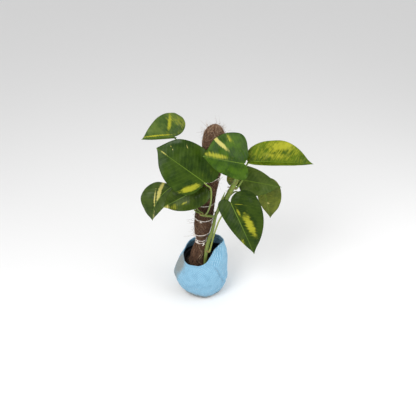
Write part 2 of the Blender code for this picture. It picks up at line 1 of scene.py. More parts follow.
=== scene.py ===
"""Looks of a golden pothos on a coir pole, in its pot inside a lined woven wrapper bag.

Laid out as a Blender add-on and run as a script. Each operator builds one piece, or one group of
like pieces, around the fixed frame, in metres with +Z up.
"""
from math import atan2, cos, pi, radians, sin, sqrt, tan

import bpy
import numpy as np
from bpy.props import FloatProperty, FloatVectorProperty, IntProperty, PointerProperty
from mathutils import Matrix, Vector, noise


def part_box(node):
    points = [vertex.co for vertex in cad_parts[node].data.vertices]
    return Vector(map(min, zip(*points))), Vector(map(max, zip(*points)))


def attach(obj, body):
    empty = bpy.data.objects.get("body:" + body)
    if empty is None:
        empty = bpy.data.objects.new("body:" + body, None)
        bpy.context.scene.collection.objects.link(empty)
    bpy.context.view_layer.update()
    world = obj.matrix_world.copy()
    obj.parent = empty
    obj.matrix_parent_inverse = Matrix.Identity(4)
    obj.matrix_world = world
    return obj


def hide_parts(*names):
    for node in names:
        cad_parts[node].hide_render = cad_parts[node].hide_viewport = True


bl_info = {
    "name": "Pothos in a Wrapper",
    "version": (1, 0, 0),
    "blender": (4, 5, 0),
    "location": "3D View > Sidebar > Pothos",
    "description": "Builds the visible pieces of a pothos on a coir pole in a woven wrapper",
    "category": "Object",
}

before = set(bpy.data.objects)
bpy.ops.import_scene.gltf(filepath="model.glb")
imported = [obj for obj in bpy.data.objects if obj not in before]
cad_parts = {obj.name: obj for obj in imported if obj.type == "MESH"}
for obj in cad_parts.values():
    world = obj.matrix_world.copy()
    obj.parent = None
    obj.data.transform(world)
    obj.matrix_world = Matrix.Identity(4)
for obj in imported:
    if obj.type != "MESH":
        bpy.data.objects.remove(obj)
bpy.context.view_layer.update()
BODY = "root"

# ---------------------------------------------------------------- layout, as in the frame
KEEL = 0.003                 # half width of the rounded fold along a midrib
NOTCH = 0.002                # from a petiole's seat to the notch between the lobes
PLANT_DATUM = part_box("soil")[1].z    # top of the soil

# Each blade: seat of the petiole, tip, direction the upper side faces, then for the left and the
# right half: width, lobe, place of the widest part, fullness towards the tip, fold in degrees.
# "arch" is the rise of the midrib over its chord and "cup" the drop of the margins.
LEAVES = {
    "leaf_top_left": dict(
        seat=(-0.063, 0.020, 0.431), tip=(-0.131, 0.000, 0.433), face=(0.1, -0.8, 0.8),
        left=(0.022, 0.008, 0.15, 0.3, 62), right=(0.055, 0.042, 0.0, 0.15, 10),
        arch=0.004, cup=0.004),
    "leaf_large_left": dict(
        seat=(0.005, -0.058, 0.362), tip=(-0.096, -0.028, 0.428), face=(-0.1, -0.8, 0.6),
        left=(0.053, 0.007, 0.30, 0.45, 8), right=(0.060, 0.030, 0.30, 0.90, 8),
        arch=0.004, cup=0.004),
    "leaf_lower_left": dict(
        seat=(0.000, -0.040, 0.334), tip=(-0.088, -0.052, 0.287), face=(-0.1, -0.85, 0.5),
        left=(0.038, 0.020, 0.20, 0.3, 8), right=(0.036, 0.018, 0.20, 0.3, 8),
        arch=0.005, cup=0.004),
    "leaf_far_left": dict(
        seat=(-0.072, 0.010, 0.302), tip=(-0.115, -0.030, 0.234), face=(-0.5, -0.7, 0.5),
        left=(0.030, 0.012, 0.20, 0.3, 10), right=(0.046, 0.006, 0.40, 0.6, 10),
        arch=0.024, cup=0.004),
    "leaf_centre": dict(
        seat=(0.0915, -0.052, 0.403), tip=(0.005, -0.086, 0.4405), face=(0.1, -0.8, 0.6),
        left=(0.044, 0.014, 0.15, 0.6, 30), right=(0.063, 0.012, 0.20, 0.8, 8),
        arch=0.0, cup=0.003),
    "leaf_right": dict(
        seat=(0.106, -0.030, 0.396), tip=(0.250, -0.030, 0.389), face=(0.0, -0.7, 0.7),
        left=(0.049, 0.012, 0.45, 0.25, 8), right=(0.030, 0.008, 0.30, 0.3, 61),
        arch=0.004, cup=0.004),
    "leaf_right_dark": dict(
        seat=(0.097, 0.012, 0.322), tip=(0.190, 0.006, 0.305), face=(0.2, -0.8, 0.5),
        left=(0.034, 0.012, 0.05, 0.0, 6), right=(0.034, 0.010, 0.25, 0.0, 10),
        arch=0.003, cup=0.002),
    "leaf_olive": dict(
        seat=(0.146, 0.030, 0.300), tip=(0.169, 0.020, 0.206), face=(0.2, -0.8, 0.2),
        left=(0.040, 0.015, 0.35, 0.4, 10), right=(0.020, 0.012, 0.30, 0.0, 10),
        arch=0.004, cup=0.003),
    "leaf_lower_right": dict(
        seat=(0.070, -0.040, 0.288), tip=(0.125, -0.080, 0.173), face=(0.1, -0.8, 0.5),
        left=(0.061, 0.027, 0.15, 0.35, 8), right=(0.034, 0.024, 0.0, 0.1, 16),
        arch=0.006, cup=0.004),
    "leaf_back": dict(
        seat=(0.0945, 0.040, 0.333), tip=(0.0665, 0.054, 0.279), face=(0.1, -0.8, 0.5),
        left=(0.030, 0.015, 0.20, 0.4, 10), right=(0.022, 0.015, 0.20, 0.4, 10),
        arch=0.005, cup=0.003),
}

# Main vine: route from its root in the soil to its growing end, with its thickness.
VINE_ROUTE = [
    (0.009, -0.021, 0.050), (0.009, -0.021, 0.088), (0.010, -0.020, 0.112), (0.013, -0.017, 0.138),
    (0.018, -0.013, 0.162), (0.0252, -0.0112, 0.184), (0.0295, -0.010, 0.205), (0.0325, -0.010, 0.224),
    (0.036, -0.011, 0.241), (0.043, -0.012, 0.256), (0.052, -0.012, 0.271), (0.061, -0.012, 0.290),
    (0.070, -0.013, 0.311), (0.080, -0.014, 0.335), (0.084, -0.0145, 0.345),
]
VINE_RADII = [
    0.0042, 0.0042, 0.0043, 0.0045, 0.0047, 0.0042, 0.0040, 0.0038,
    0.0038, 0.0042, 0.0055, 0.0062, 0.0060, 0.0052, 0.0042,
]
# Side shoot that lies across the front of the pole.
SHOOT_ROUTE = [
    (0.0300, -0.0180, 0.2375), (0.0250, -0.0240, 0.2430), (0.0160, -0.0275, 0.2470),
    (0.0060, -0.0280, 0.2490), (-0.0040, -0.0270, 0.2500),
]
SHOOT_RADII = [0.0030, 0.0032, 0.0032, 0.0030, 0.0024]

# Petioles: the stem it leaves, how far along it and which way it sets off, the points it then
# passes, the leaf it carries, and its radius at the foot and at the leaf.
PETIOLES = {
    "petiole_large_left": dict(
        stem="shoot", along=0.62, away=(0.15, -0.5, 1.0),
        via=[(0.0150, -0.0370, 0.2640), (0.0215, -0.0465, 0.2925), (0.0235, -0.0555, 0.3260),
             (0.0215, -0.0600, 0.3460), (0.0135, -0.0615, 0.3540)],
        leaf="leaf_large_left", radius=(0.0020, 0.0015)),
    "petiole_lower_left": dict(
        stem="shoot", along=0.97, away=(-0.5, -0.1, 1.0),
        via=[(-0.0135, -0.0265, 0.2600), (-0.0190, -0.0265, 0.2760), (-0.0170, -0.0270, 0.3030),
             (-0.0060, -0.0290, 0.3200)],
        leaf="leaf_lower_left", radius=(0.0018, 0.0014)),
    "petiole_far_left": dict(
        stem="shoot", along=0.80, away=(-0.2, 0.1, 1.0),
        via=[(-0.0075, -0.0270, 0.2640), (-0.0160, -0.0220, 0.2820), (-0.0380, -0.0060, 0.2960),
             (-0.0600, 0.0060, 0.2990)],
        leaf="leaf_far_left", radius=(0.0016, 0.0013)),
    "petiole_top_left": dict(
        stem="pole", along=0.318, away=(-0.8, 0.6, 0.0),
        via=[(-0.0200, 0.0200, 0.3330), (-0.0300, 0.0200, 0.3700), (-0.0430, 0.0190, 0.4050),
             (-0.0540, 0.0190, 0.4230)],
        leaf="leaf_top_left", radius=(0.0017, 0.0012)),
    "petiole_lower_right": dict(
        stem="vine", along=0.27, away=(0.8, -0.6, 0.2),
        via=[(0.0215, -0.0235, 0.1420), (0.0260, -0.0230, 0.1640), (0.0310, -0.0250, 0.1900),
             (0.0370, -0.0290, 0.2160), (0.0430, -0.0330, 0.2380), (0.0520, -0.0370, 0.2600),
             (0.0620, -0.0400, 0.2760)],
        leaf="leaf_lower_right", radius=(0.0024, 0.0017)),
    "petiole_right": dict(
        stem="vine", along=0.90, away=(1.0, -0.2, 0.1),
        via=[(0.0935, -0.0170, 0.3380), (0.0965, -0.0200, 0.3540), (0.0970, -0.0250, 0.3700),
             (0.1000, -0.0300, 0.3840)],
        leaf="leaf_right", radius=(0.0025, 0.0018)),
    "petiole_centre": dict(
        stem="vine", along=0.95, away=(-0.4, -0.9, 0.2),
        via=[(0.0800, -0.0290, 0.3540), (0.0830, -0.0400, 0.3720), (0.0880, -0.0480, 0.3890)],
        leaf="leaf_centre", radius=(0.0028, 0.0020)),
    "petiole_right_dark": dict(
        stem="vine", along=0.86, away=(-0.1, 1.0, 0.0),
        via=[(0.0770, 0.0060, 0.3150), (0.0860, 0.0200, 0.3130)],
        leaf="leaf_right_dark", radius=(0.0022, 0.0017)),
    "petiole_olive": dict(
        stem="vine", along=0.78, away=(0.6, 0.8, 0.0),
        via=[(0.0790, -0.0010, 0.2970), (0.0980, 0.0110, 0.2860), (0.1240, 0.0300, 0.2860),
             (0.1390, 0.0400, 0.2950)],
        leaf="leaf_olive", radius=(0.0020, 0.0014)),
    "petiole_back": dict(
        stem="vine", along=0.975, away=(-0.8, 0.7, 0.1),
        via=[(0.0740, -0.0010, 0.3490), (0.0760, 0.0140, 0.3600), (0.0840, 0.0340, 0.3640),
             (0.0930, 0.0520, 0.3560), (0.0970, 0.0530, 0.3430)],
        leaf="leaf_back", radius=(0.0017, 0.0013)),
}

# Young rolled leaf beside the vine.
SPEAR_FOOT = dict(stem="vine", along=0.64, away=(-0.3, -0.9, 0.3))
SPEAR_TIP = (0.055, -0.026, 0.313)
SPEAR_RADIUS = 0.0034

POLE_FOOT_X = -0.018         # where the pole's axis meets the base plane
POLE_LEAN = 0.105            # sideways run for each metre of height
# height and radius of the coir wrap, from the loose skirt to the closed top
SLEEVE_PROFILE = np.array([
    (0.0834, 0.0205), (0.095, 0.0205), (0.112, 0.0200), (0.132, 0.0160), (0.147, 0.0125),
    (0.165, 0.0125), (0.178, 0.0175), (0.195, 0.0205), (0.215, 0.0215), (0.240, 0.0220),
    (0.270, 0.0210), (0.300, 0.0220), (0.330, 0.0250), (0.352, 0.0255), (0.380, 0.0225),
    (0.405, 0.0220), (0.430, 0.0245), (0.448, 0.0235), (0.460, 0.0170), (0.468, 0.0070),
    (0.4700, 0.0005),
])
SLEEVE_RUN = np.concatenate([[0], np.cumsum(np.linalg.norm(np.diff(SLEEVE_PROFILE, axis=0), axis=1))])
WAIST_HEIGHT = 0.156         # the narrow place where the waist ties go round

# height on the pole, rise towards the right, and the side that the knot is on in degrees
TIES = {
    "tie_waist_lower": (0.1520, 0.06, -60),
    "tie_waist_upper": (0.1590, -0.06, -125),
    "tie_lower": (0.1800, 0.10, -150),
    "tie_middle": (0.2260, -0.05, -105),
    "tie_shoot": (0.2680, 0.10, -170),
    "tie_upper": (0.3370, 0.28, -35),
}
TIE_RADIUS = 0.0011

# the wrapper's outside: shares of its height, radii there, and where its middle lies
WRAP_RIM_HEIGHT = 0.1214
WRAP_NECK_DOWN = 0.01416     # from the rim to where the wrapper is drawn in round the pot
WRAP_SHARES = [0.0, 0.12, 0.30, 0.50, 0.70, 1 - WRAP_NECK_DOWN / WRAP_RIM_HEIGHT, 1.0]
WRAP_RADII = [0.046, 0.0556, 0.0664, 0.070, 0.06644, 0.05843, 0.0522]
WRAP_MIDDLES = ([0.0, 0.5, 1.0], [0.006, -0.004, 0.0044])
# the rim climbs towards one side, peaks at one corner and is drawn in across the front right
WRAP_RIM_RISE = 0.0179
WRAP_RISE_TOWARDS = radians(39)
WRAP_CORNER_RISE = 0.018
WRAP_CORNER_TOWARDS = radians(-5)
WRAP_CORNER_SPREAD = radians(33)
WRAP_FLAT = 0.40
WRAP_FLAT_TOWARDS = radians(-49)
WRAP_FLAT_SPREAD = radians(40)
# the crease down the wrapper's front right: angle in degrees and share of the height
CREASE = [(-65, 1.0), (-49, 0.72), (-32, 0.33)]

# Colours of each blade: dark and light green, how much of it is flecked, and its patches. A patch
# is its kind, side (1 left, -1 right), place along the midrib and out from it, half sizes along
# and out, how much it slants, and strength; all lengths are in metres.
BLADE_PAINT = {
    "leaf_top_left": dict(dark=(0.036, 0.074, 0.012), light=(0.090, 0.135, 0.024), flecks=0.12, patches=[
        ("gold", -1, -0.016, 0.033, 0.0045, 0.022, -0.87, 0.75),
        ("gold", -1, 0.030, 0.0045, 0.035, 0.002, 0.0, 0.85),
        ("gold", -1, -0.040, 0.033, 0.020, 0.020, 0.0, 0.38)]),
    "leaf_large_left": dict(dark=(0.014, 0.036, 0.002), light=(0.034, 0.068, 0.003), flecks=0.0, patches=[
        ("gold", 1, -0.002, 0.029, 0.0085, 0.021, 0.0, 1.15),
        ("cream", -1, 0.105, 0.0010, 0.012, 0.0012, 0.0, 0.9),
        ("cream", -1, 0.088, 0.021, 0.0020, 0.006, 1.4, 0.8),
        ("cream", -1, 0.047, 0.042, 0.0018, 0.005, 0.5, 0.8),
        ("gold", -1, 0.003, 0.020, 0.0011, 0.018, 0.0, 0.5),
        ("gold", -1, -0.016, 0.027, 0.008, 0.011, 0.0, 0.30)]),
    "leaf_lower_left": dict(dark=(0.017, 0.036, 0.002), light=(0.038, 0.066, 0.003), flecks=0.06, patches=[
        ("gold", 1, 0.040, 0.014, 0.013, 0.003, 0.0, 0.6),
        ("cream", 1, 0.090, 0.004, 0.010, 0.007, 0.0, 0.75),
        ("gold", 1, 0.070, 0.012, 0.016, 0.010, 0.0, 0.45)]),
    "leaf_far_left": dict(dark=(0.022, 0.044, 0.006), light=(0.048, 0.078, 0.012), flecks=0.05, patches=[
        ("cream", -1, 0.018, 0.009, 0.0085, 0.017, -2.1, 1.2),
        ("cream", -1, 0.036, 0.009, 0.0040, 0.014, -2.1, 0.9),
        ("cream", 1, 0.075, 0.004, 0.020, 0.004, 0.0, 0.5)]),
    "leaf_centre": dict(dark=(0.018, 0.052, 0.001), light=(0.048, 0.108, 0.002), flecks=0.10, patches=[
        ("cream", -1, 0.046, 0.034, 0.0082, 0.013, 0.87, 1.4),
        ("gold", -1, 0.066, 0.0065, 0.032, 0.006, 0.0, 0.75),
        ("gold", -1, 0.017, 0.046, 0.007, 0.008, 0.0, 0.7)]),
    "leaf_right": dict(dark=(0.036, 0.074, 0.002), light=(0.082, 0.132, 0.003), flecks=0.34, patches=[
        ("gold", 1, 0.050, 0.036, 0.026, 0.014, 0.0, 0.50),
        ("gold", 1, 0.048, 0.013, 0.034, 0.009, 0.0, 0.26)]),
    "leaf_right_dark": dict(dark=(0.044, 0.078, 0.010), light=(0.084, 0.126, 0.020), flecks=0.04, patches=[]),
    "leaf_olive": dict(dark=(0.070, 0.096, 0.011), light=(0.134, 0.160, 0.018), flecks=0.20, patches=[
        ("cream", 1, 0.052, 0.002, 0.003, 0.004, 0.0, 1.0)]),
    "leaf_lower_right": dict(dark=(0.013, 0.033, 0.002), light=(0.030, 0.058, 0.003), flecks=0.0, patches=[
        ("gold", 1, 0.052, 0.018, 0.032, 0.0100, 0.0, 1.0),
        ("gold", 1, 0.020, 0.0065, 0.014, 0.004, 0.0, 0.8),
        ("gold", -1, 0.084, 0.014, 0.016, 0.005, 0.0, 0.62),
        ("gold", 1, -0.001, 0.018, 0.0011, 0.013, 0.0, 0.8)]),
    "leaf_back": dict(dark=(0.060, 0.088, 0.006), light=(0.115, 0.142, 0.010), flecks=0.18, patches=[
        ("gold", -1, 0.030, 0.010, 0.020, 0.010, 0.0, 0.45)]),
}
VEIN_SLANT = 0.5             # how far a side vein runs towards the tip for each metre outwards
VEIN_CURL = 2.0              # how much more it does so further out


# ---------------------------------------------------------------- settings
def colour(name, description, default):
    """A colour setting."""
    return FloatVectorProperty(name=name, description=description, default=default,
                               subtype="COLOR", size=3, min=0.0, max=1.0)


def length(name, description, default):
    """A length setting in metres."""
    return FloatProperty(name=name, description=description, default=default, min=0.0,
                         subtype="DISTANCE", unit="LENGTH", precision=5)


def power(name, description, default):
    """A setting for the power of a light."""
    return FloatProperty(name=name, description=description, default=default, min=0.0, unit="POWER")


class PothosBlades(bpy.types.PropertyGroup):
    """Sizes and colours of the leaf blades."""
    gold: colour("Gold", "Colour of the yellow variegation", (0.34, 0.34, 0.022))
    cream: colour("Cream", "Colour of the pale variegation", (0.50, 0.45, 0.125))
    rib: colour("Rib", "Colour of the midrib", (0.13, 0.21, 0.020))
    underside: colour("Underside", "Colour of the underside", (0.105, 0.175, 0.030))
    underrib: colour("Underside Veins", "Colour of the veins on the underside", (0.20, 0.28, 0.070))
    thickness: length("Thickness", "Thickness of a blade", 0.0007)
    vein_gap: length("Vein Gap", "Distance between side veins", 0.0088)
    vein_relief: length("Vein Relief", "Height of the blade between its side veins", 0.00016)
    wave: length("Wave", "Height of the waves along the margin", 0.0011)
    swell: length("Swell", "Height of the broad unevenness of a blade", 0.0021)
    tip: FloatProperty(name="Slim Tip", description="Share by which a blade narrows at its drip tip",
                       default=0.5, min=0.0, max=0.9, subtype="FACTOR")
    rings: IntProperty(name="Rings", description="Rings of points from the seat to the margin",
                       default=44, min=8)


class PothosStems(bpy.types.PropertyGroup):
    """Colours of the vine, its side shoot and the petioles."""
    green: colour("Green", "Colour of the young stem", (0.19, 0.27, 0.045))
    olive: colour("Olive", "Colour of the older stem", (0.13, 0.16, 0.045))
    gold: colour("Gold", "Colour of the pale stripes", (0.42, 0.40, 0.075))
    sheath: colour("Sheath", "Colour of the dried sheaths", (0.20, 0.11, 0.045))
    sides: IntProperty(name="Sides", description="Points around a stem", default=20, min=6)


class PothosPole(bpy.types.PropertyGroup):
    """Sizes and colours of the coir pole."""
    dark: colour("Dark", "Colour of the shaded coir", (0.045, 0.021, 0.012))
    brown: colour("Brown", "Colour of most fibres", (0.230, 0.118, 0.062))
    pale: colour("Pale", "Colour of the dried fibres", (0.58, 0.43, 0.28))
    wood: colour("Wood", "Colour of the stake", (0.30, 0.18, 0.09))
    strand_count: IntProperty(name="Strands", description="Fibres over the pole", default=3800, min=1)
    hair_count: IntProperty(name="Hairs", description="Stray fibres", default=480, min=1)
    root_count: IntProperty(name="Roots", description="Strands in the loose skirt", default=420, min=1)
    strand_radius: length("Strand Radius", "Half the thickness of a fibre", 0.00024)


class PothosString(bpy.types.PropertyGroup):
    """The string that ties the plant and the coir."""
    tone: colour("Colour", "Colour of the string", (0.82, 0.76, 0.70))
    ply: length("Ply", "Half the thickness of one of the two plies", 0.00062)
    lay: length("Lay", "Length of one turn of the twist", 0.0045)


class PothosWrapper(bpy.types.PropertyGroup):
    """Sizes and colours of the woven wrapper and its lining film."""
    blue: colour("Blue", "Colour of the woven tapes", (0.175, 0.42, 0.60))
    # the bright crossings are partly the cloth's white pattern and partly a painted highlight
    dot: colour("Dots", "Colour of the bright crossings", (0.74, 0.86, 0.92))
    gap: colour("Gaps", "Colour between the tapes", (0.060, 0.19, 0.33))
    stain: colour("Stain", "Colour of the soiled cloth", (0.21, 0.20, 0.165))
    film: colour("Film", "Colour of the lining film", (0.010, 0.018, 0.024))
    period: length("Period", "Distance between the bright crossings", 0.0042)
    thickness: length("Thickness", "Thickness of the cloth", 0.0008)
    hem: length("Hem", "Depth of the hem turned in at the rim", 0.012)
    crumple: length("Crumple", "Depth of the small folds", 0.0026)


class PothosGround(bpy.types.PropertyGroup):
    """The potting soil and the pot."""
    soil: colour("Soil", "Colour of the damp soil", (0.020, 0.013, 0.009))
    crumb: colour("Crumbs", "Colour of the dry bits on it", (0.085, 0.055, 0.034))
    pot: colour("Pot", "Colour of the nursery pot", (0.012, 0.012, 0.013))
    crumbs: IntProperty(name="Crumbs", description="Loose bits on the soil", default=700, min=1)


class PothosStage(bpy.types.PropertyGroup):
    """Floor, light and camera."""
    floor: colour("Floor", "Colour of the floor", (0.86, 0.86, 0.86))
    lens: FloatProperty(name="Lens", description="Focal length", default=47.0, min=1.0, unit="CAMERA")
    key: power("Key", "Power of the main light", 12.0)
    fill: power("Fill", "Power of the fill light", 5.5)
    sky: FloatProperty(name="Sky", description="Strength of the even light", default=0.72, min=0.0)


# ---------------------------------------------------------------- shader nodes
class Finish:
    """One material, with short calls that add shader nodes and join them."""

    def __init__(self, name):
        self.material = bpy.data.materials.new(name)
        self.material.use_nodes = True
        self.tree = self.material.node_tree
        self.surface = self.tree.nodes["Principled BSDF"]

    def node(self, kind, values, **settings):
        """Add a node and feed its sockets, by name or by number."""
        made = self.tree.nodes.new("ShaderNode" + kind)
        for setting, value in settings.items():
            setattr(made, setting, value)
        for socket, value in values.items():
            self.feed(made.inputs[socket], value)
        return made

    def feed(self, socket, value):
        """Join an output to a socket, or set its value."""
        if isinstance(value, bpy.types.NodeSocket):
            self.tree.links.new(value, socket)
        elif socket.type == "RGBA":
            socket.default_value = (*value, 1.0)
        else:
            socket.default_value = value

    def set(self, **values):
        """Feed the surface's own sockets."""
        for socket, value in values.items():
            self.feed(self.surface.inputs[socket.replace("_", " ").title().replace("Ior", "IOR")], value)

    def math(self, operation, first, second=0.0):
        """Work out one number from one or two others."""
        return self.node("Math", {0: first, 1: second}, operation=operation).outputs[0]

    def times(self, first, second):
        """Multiply two numbers."""
        return self.math("MULTIPLY", first, second)

    def plus(self, first, second):
        """Add two numbers."""
        return self.math("ADD", first, second)

    def mix(self, share, low, high):
        """Blend from one colour to another."""
        return self.node("Mix", {0: share, 6: low, 7: high}, data_type="RGBA").outputs[2]

    def step(self, value, low, high, out_low=0.0, out_high=1.0):
        """Turn a value smoothly from one number to another between two limits."""
        limits = {0: value, 1: low, 2: high, 3: out_low, 4: out_high}
        return self.node("MapRange", limits, interpolation_type="SMOOTHSTEP").outputs[0]

    def mark(self, name):
        """A number that the mesh holds at each point."""
        return self.node("Attribute", {}, attribute_name=name).outputs["Fac"]

    def place(self):
        """The place on the object, in metres."""
        return self.node("TexCoord", {}).outputs["Object"]

    def axes(self):
        """The three coordinates of the place on the object."""
        return self.node("SeparateXYZ", {0: self.place()}).outputs

    def vector(self, x, y, z):
        """Three numbers joined into one vector."""
        return self.node("CombineXYZ", {0: x, 1: y, 2: z}).outputs[0]

    def noise(self, vector, scale, detail=3.0, roughness=0.55):
        """Cloudy variation from about 0 to 1; scale is in clouds for each metre."""
        values = {"Vector": vector, "Scale": scale, "Detail": detail, "Roughness": roughness}
        return self.node("TexNoise", values).outputs["Fac"]

    def relief(self, height, distance, strength=1.0):
        """Fine relief whose full height stands for a distance in metres."""
        values = {"Height": height, "Distance": distance, "Strength": strength}
        self.set(normal=self.node("Bump", values).outputs[0])


def blade_finish(name, look, paint, seed):
    """Waxy variegated leaf: streaks and flecks that follow the side veins, over two greens."""
    finish = Finish(name)
    vein = finish.mark("vein")
    reach = finish.mark("reach")
    cloud = finish.noise(finish.place(), 42.0, 3.0)
    blotch = finish.noise(finish.place(), 150.0, 3.0, 0.6)
    bent = finish.plus(vein, finish.times(blotch, 0.0016))
    along_vein = finish.vector(finish.times(bent, 430.0),
                               finish.times(reach, 62.0), float(seed))
    streak = finish.noise(along_vein, 1.0, 4.5, 0.62)
    green = finish.mix(finish.step(cloud, 0.35, 0.65), paint["dark"], paint["light"])
    green = finish.mix(finish.step(streak, 0.48, 0.74, 0.0, 0.5), green, paint["light"])
    ridge = finish.math("SINE", finish.times(bent, 2 * pi / look.vein_gap))
    green = finish.mix(finish.step(ridge, 0.90, 1.0, 0.0, 0.13), green, look.rib)
    mixed = finish.plus(finish.times(streak, 0.72), finish.times(blotch, 0.28))
    for kind, base in (("gold", look.gold), ("cream", look.cream)):
        amount = finish.times(finish.mark(kind), 0.50)
        if kind == "gold":
            amount = finish.plus(amount, 0.5 * paint["flecks"])
        share = finish.step(finish.plus(mixed, amount), 0.64, 0.92, 0.0, 0.96)
        green = finish.mix(share, green, base)
    rib = finish.times(finish.mark("rib"), finish.step(reach, 0.0004, 0.0013, 1.0, 0.0))
    green = finish.mix(rib, green, look.rib)
    pale = finish.mix(finish.step(ridge, 0.55, 1.0, 0.0, 0.45), look.underside, look.underrib)
    pale = finish.mix(rib, pale, look.underrib)
    top = finish.mix(finish.times(finish.mark("under"), 0.80), green, pale)
    finish.set(base_color=top, specular_ior_level=0.14)
    gloss = finish.plus(finish.step(cloud, 0.3, 0.7, 0.27, 0.38),
                        finish.times(finish.mark("under"), 0.25))
    finish.set(roughness=gloss)
    fine = finish.noise(finish.place(), 900.0, 2.0)
    finish.relief(finish.plus(finish.times(streak, 0.6), finish.times(fine, 0.4)), 0.00010, 0.5)
    return finish.material


def stem_finish(name, look, gold):
    """Smooth green stem with long pale stripes, older towards its foot, brown at its sheaths."""
    finish = Finish(name)
    around = finish.mark("around")
    run = finish.mark("run")
    stripes = finish.noise(finish.vector(finish.times(around, 4.5),
                                         finish.times(run, 0.9), 0.0), 1.0, 3.0)
    base = finish.mix(finish.mark("age"), look.green, look.olive)
    base = finish.mix(finish.step(stripes, 0.60 - 0.25 * gold, 0.70, 0.0, 0.75), base, look.gold)
    spots = finish.noise(finish.place(), 520.0, 2.0)
    base = finish.mix(finish.step(spots, 0.62, 0.72, 0.0, 0.35), base, look.olive)
    base = finish.mix(finish.mark("sheath"), base, look.sheath)
    finish.set(base_color=base, specular_ior_level=0.35)
    finish.set(roughness=finish.step(finish.mark("sheath"), 0.0, 1.0, 0.40, 0.8))
    finish.relief(stripes, 0.0003, 0.5)
    return finish.material


def fibre_finish(name, dark, brown, pale):
    """Dry fibres, each with its own shade; the packed core gets the dark end of it as painted shade."""
    finish = Finish(name)
    shade = finish.mark("shade")
    worn = finish.noise(finish.place(), 320.0, 2.0)
    base = finish.mix(finish.step(shade, 0.0, 0.62), dark, brown)
    base = finish.mix(finish.step(shade, 0.72, 1.0), base, pale)
    base = finish.mix(finish.step(worn, 0.40, 0.70, 0.0, 0.40), base, dark)
    finish.set(base_color=base, roughness=0.92)
    finish.relief(worn, 0.0002, 0.6)
    return finish.material


STRING_SOILED = (0.42, 0.34, 0.29)
# painted sheen on the crinkles of the lining film
FILM_CRINKLE_SHEEN = (0.022, 0.045, 0.062)
SOIL_SPECKS = (0.15, 0.11, 0.075)
POT_DUST = (0.060, 0.048, 0.036)
WOOD_GRAIN = (0.14, 0.075, 0.035)


def string_finish(look):
    """Twisted soft string, a little soiled in its grooves."""
    finish = Finish("string_soft")
    soiled = finish.noise(finish.place(), 260.0, 3.0)
    fuzz = finish.noise(finish.place(), 2600.0, 2.0)
    base = finish.mix(finish.step(soiled, 0.42, 0.75, 0.0, 0.55), look.tone, STRING_SOILED)
    finish.set(base_color=base, roughness=0.9)
    finish.relief(fuzz, 0.0002, 0.7)
    return finish.material


WEAVE_RADIUS = 0.066         # where the distance round the wrapper is measured
WEAVE_SLANT = radians(4)     # how far the tapes lean from level


def woven_finish(look):
    """Plain-woven flat tapes on the slant: bright crossings that are partly a painted highlight, dark gaps,
    soiled low on the left, and painted shade on the hem turned inside.
    """
    finish = Finish("woven_cloth")
    x, y, z = finish.axes()
    around = finish.times(finish.math("ARCTAN2", x, finish.times(y, -1.0)), WEAVE_RADIUS)
    slant = WEAVE_SLANT
    wander = finish.times(finish.noise(finish.place(), 26.0, 2.0), 0.0045)
    first = finish.plus(finish.times(around, cos(slant)), finish.times(z, sin(slant)))
    second = finish.math("SUBTRACT", finish.times(z, cos(slant)),
                         finish.times(around, sin(slant)))
    turn = 2 * pi / look.period
    one = finish.math("COSINE", finish.times(finish.plus(first, wander), turn))
    two = finish.math("COSINE", finish.times(finish.math("SUBTRACT", second, wander), turn))
    crossing = finish.times(one, two)
    tone = finish.noise(finish.place(), 60.0, 4.0, 0.65)
    base = finish.mix(finish.step(crossing, -1.0, 0.0, 0.45, 1.0), look.gap, look.blue)
    # partly painted highlight: the tape crossings are lightened towards the dot colour
    base = finish.mix(finish.step(crossing, 0.20, 0.85, 0.0, 0.62), base, look.dot)
    base = finish.mix(finish.step(tone, 0.42, 0.72, 0.0, 0.30), base, look.gap)
    smudge = finish.noise(finish.place(), 110.0, 5.0, 0.7)
    grime = finish.plus(finish.mark("stain"), finish.times(smudge, 1.1))
    soiled = finish.step(grime, 0.72, 1.38, 0.0, 0.86)
    threads = finish.step(crossing, 0.1, 0.9, 1.0, 0.62)
    base = finish.mix(finish.times(soiled, threads), base, look.stain)
    # painted shade: the hem turned inside the bag is darkened towards the gap colour
    base = finish.mix(finish.mark("inside"), base, finish.mix(0.35, base, look.gap))
    finish.set(base_color=base, roughness=0.72)
    fibres = finish.noise(finish.place(), 1500.0, 2.0)
    finish.relief(finish.plus(crossing, finish.times(fibres, 0.5)), 0.00025, 0.7)
    return finish.material


def film_finish(look):
    """Dark crinkled film, with a painted sheen that makes its crinkles lighter."""
    finish = Finish("lining_film")
    crinkle = finish.noise(finish.place(), 150.0, 4.0, 0.6)
    # painted sheen: the crinkles take a lighter, bluer colour
    base = finish.mix(finish.step(crinkle, 0.4, 0.7), look.film, FILM_CRINKLE_SHEEN)
    finish.set(base_color=base, roughness=finish.step(crinkle, 0.3, 0.7, 0.28, 0.5))
    finish.relief(crinkle, 0.0008, 0.7)
    return finish.material


def earth_finish(look):
    """Damp soil with drier specks."""
    finish = Finish("potting_soil")
    grain = finish.noise(finish.place(), 420.0, 5.0, 0.7)
    speck = finish.noise(finish.place(), 1500.0, 2.0)
    base = finish.mix(finish.step(grain, 0.45, 0.75), look.soil, look.crumb)
    base = finish.mix(finish.mark("shade"), base, look.crumb)
    base = finish.mix(finish.step(speck, 0.66, 0.74, 0.0, 0.5), base, SOIL_SPECKS)
    finish.set(base_color=base, roughness=0.95)
    finish.relief(grain, 0.0012, 0.9)
    return finish.material


def pot_finish(look):
    """Moulded plastic with fine scuffs and a little dust."""
    finish = Finish("pot_plastic")
    scuff = finish.noise(finish.place(), 700.0, 3.0, 0.7)
    dust = finish.noise(finish.place(), 90.0, 3.0)
    base = finish.mix(finish.step(dust, 0.5, 0.8, 0.0, 0.35), look.pot, POT_DUST)
    finish.set(base_color=base, roughness=finish.step(scuff, 0.3, 0.7, 0.38, 0.62))
    finish.relief(scuff, 0.0001, 0.5)
    return finish.material


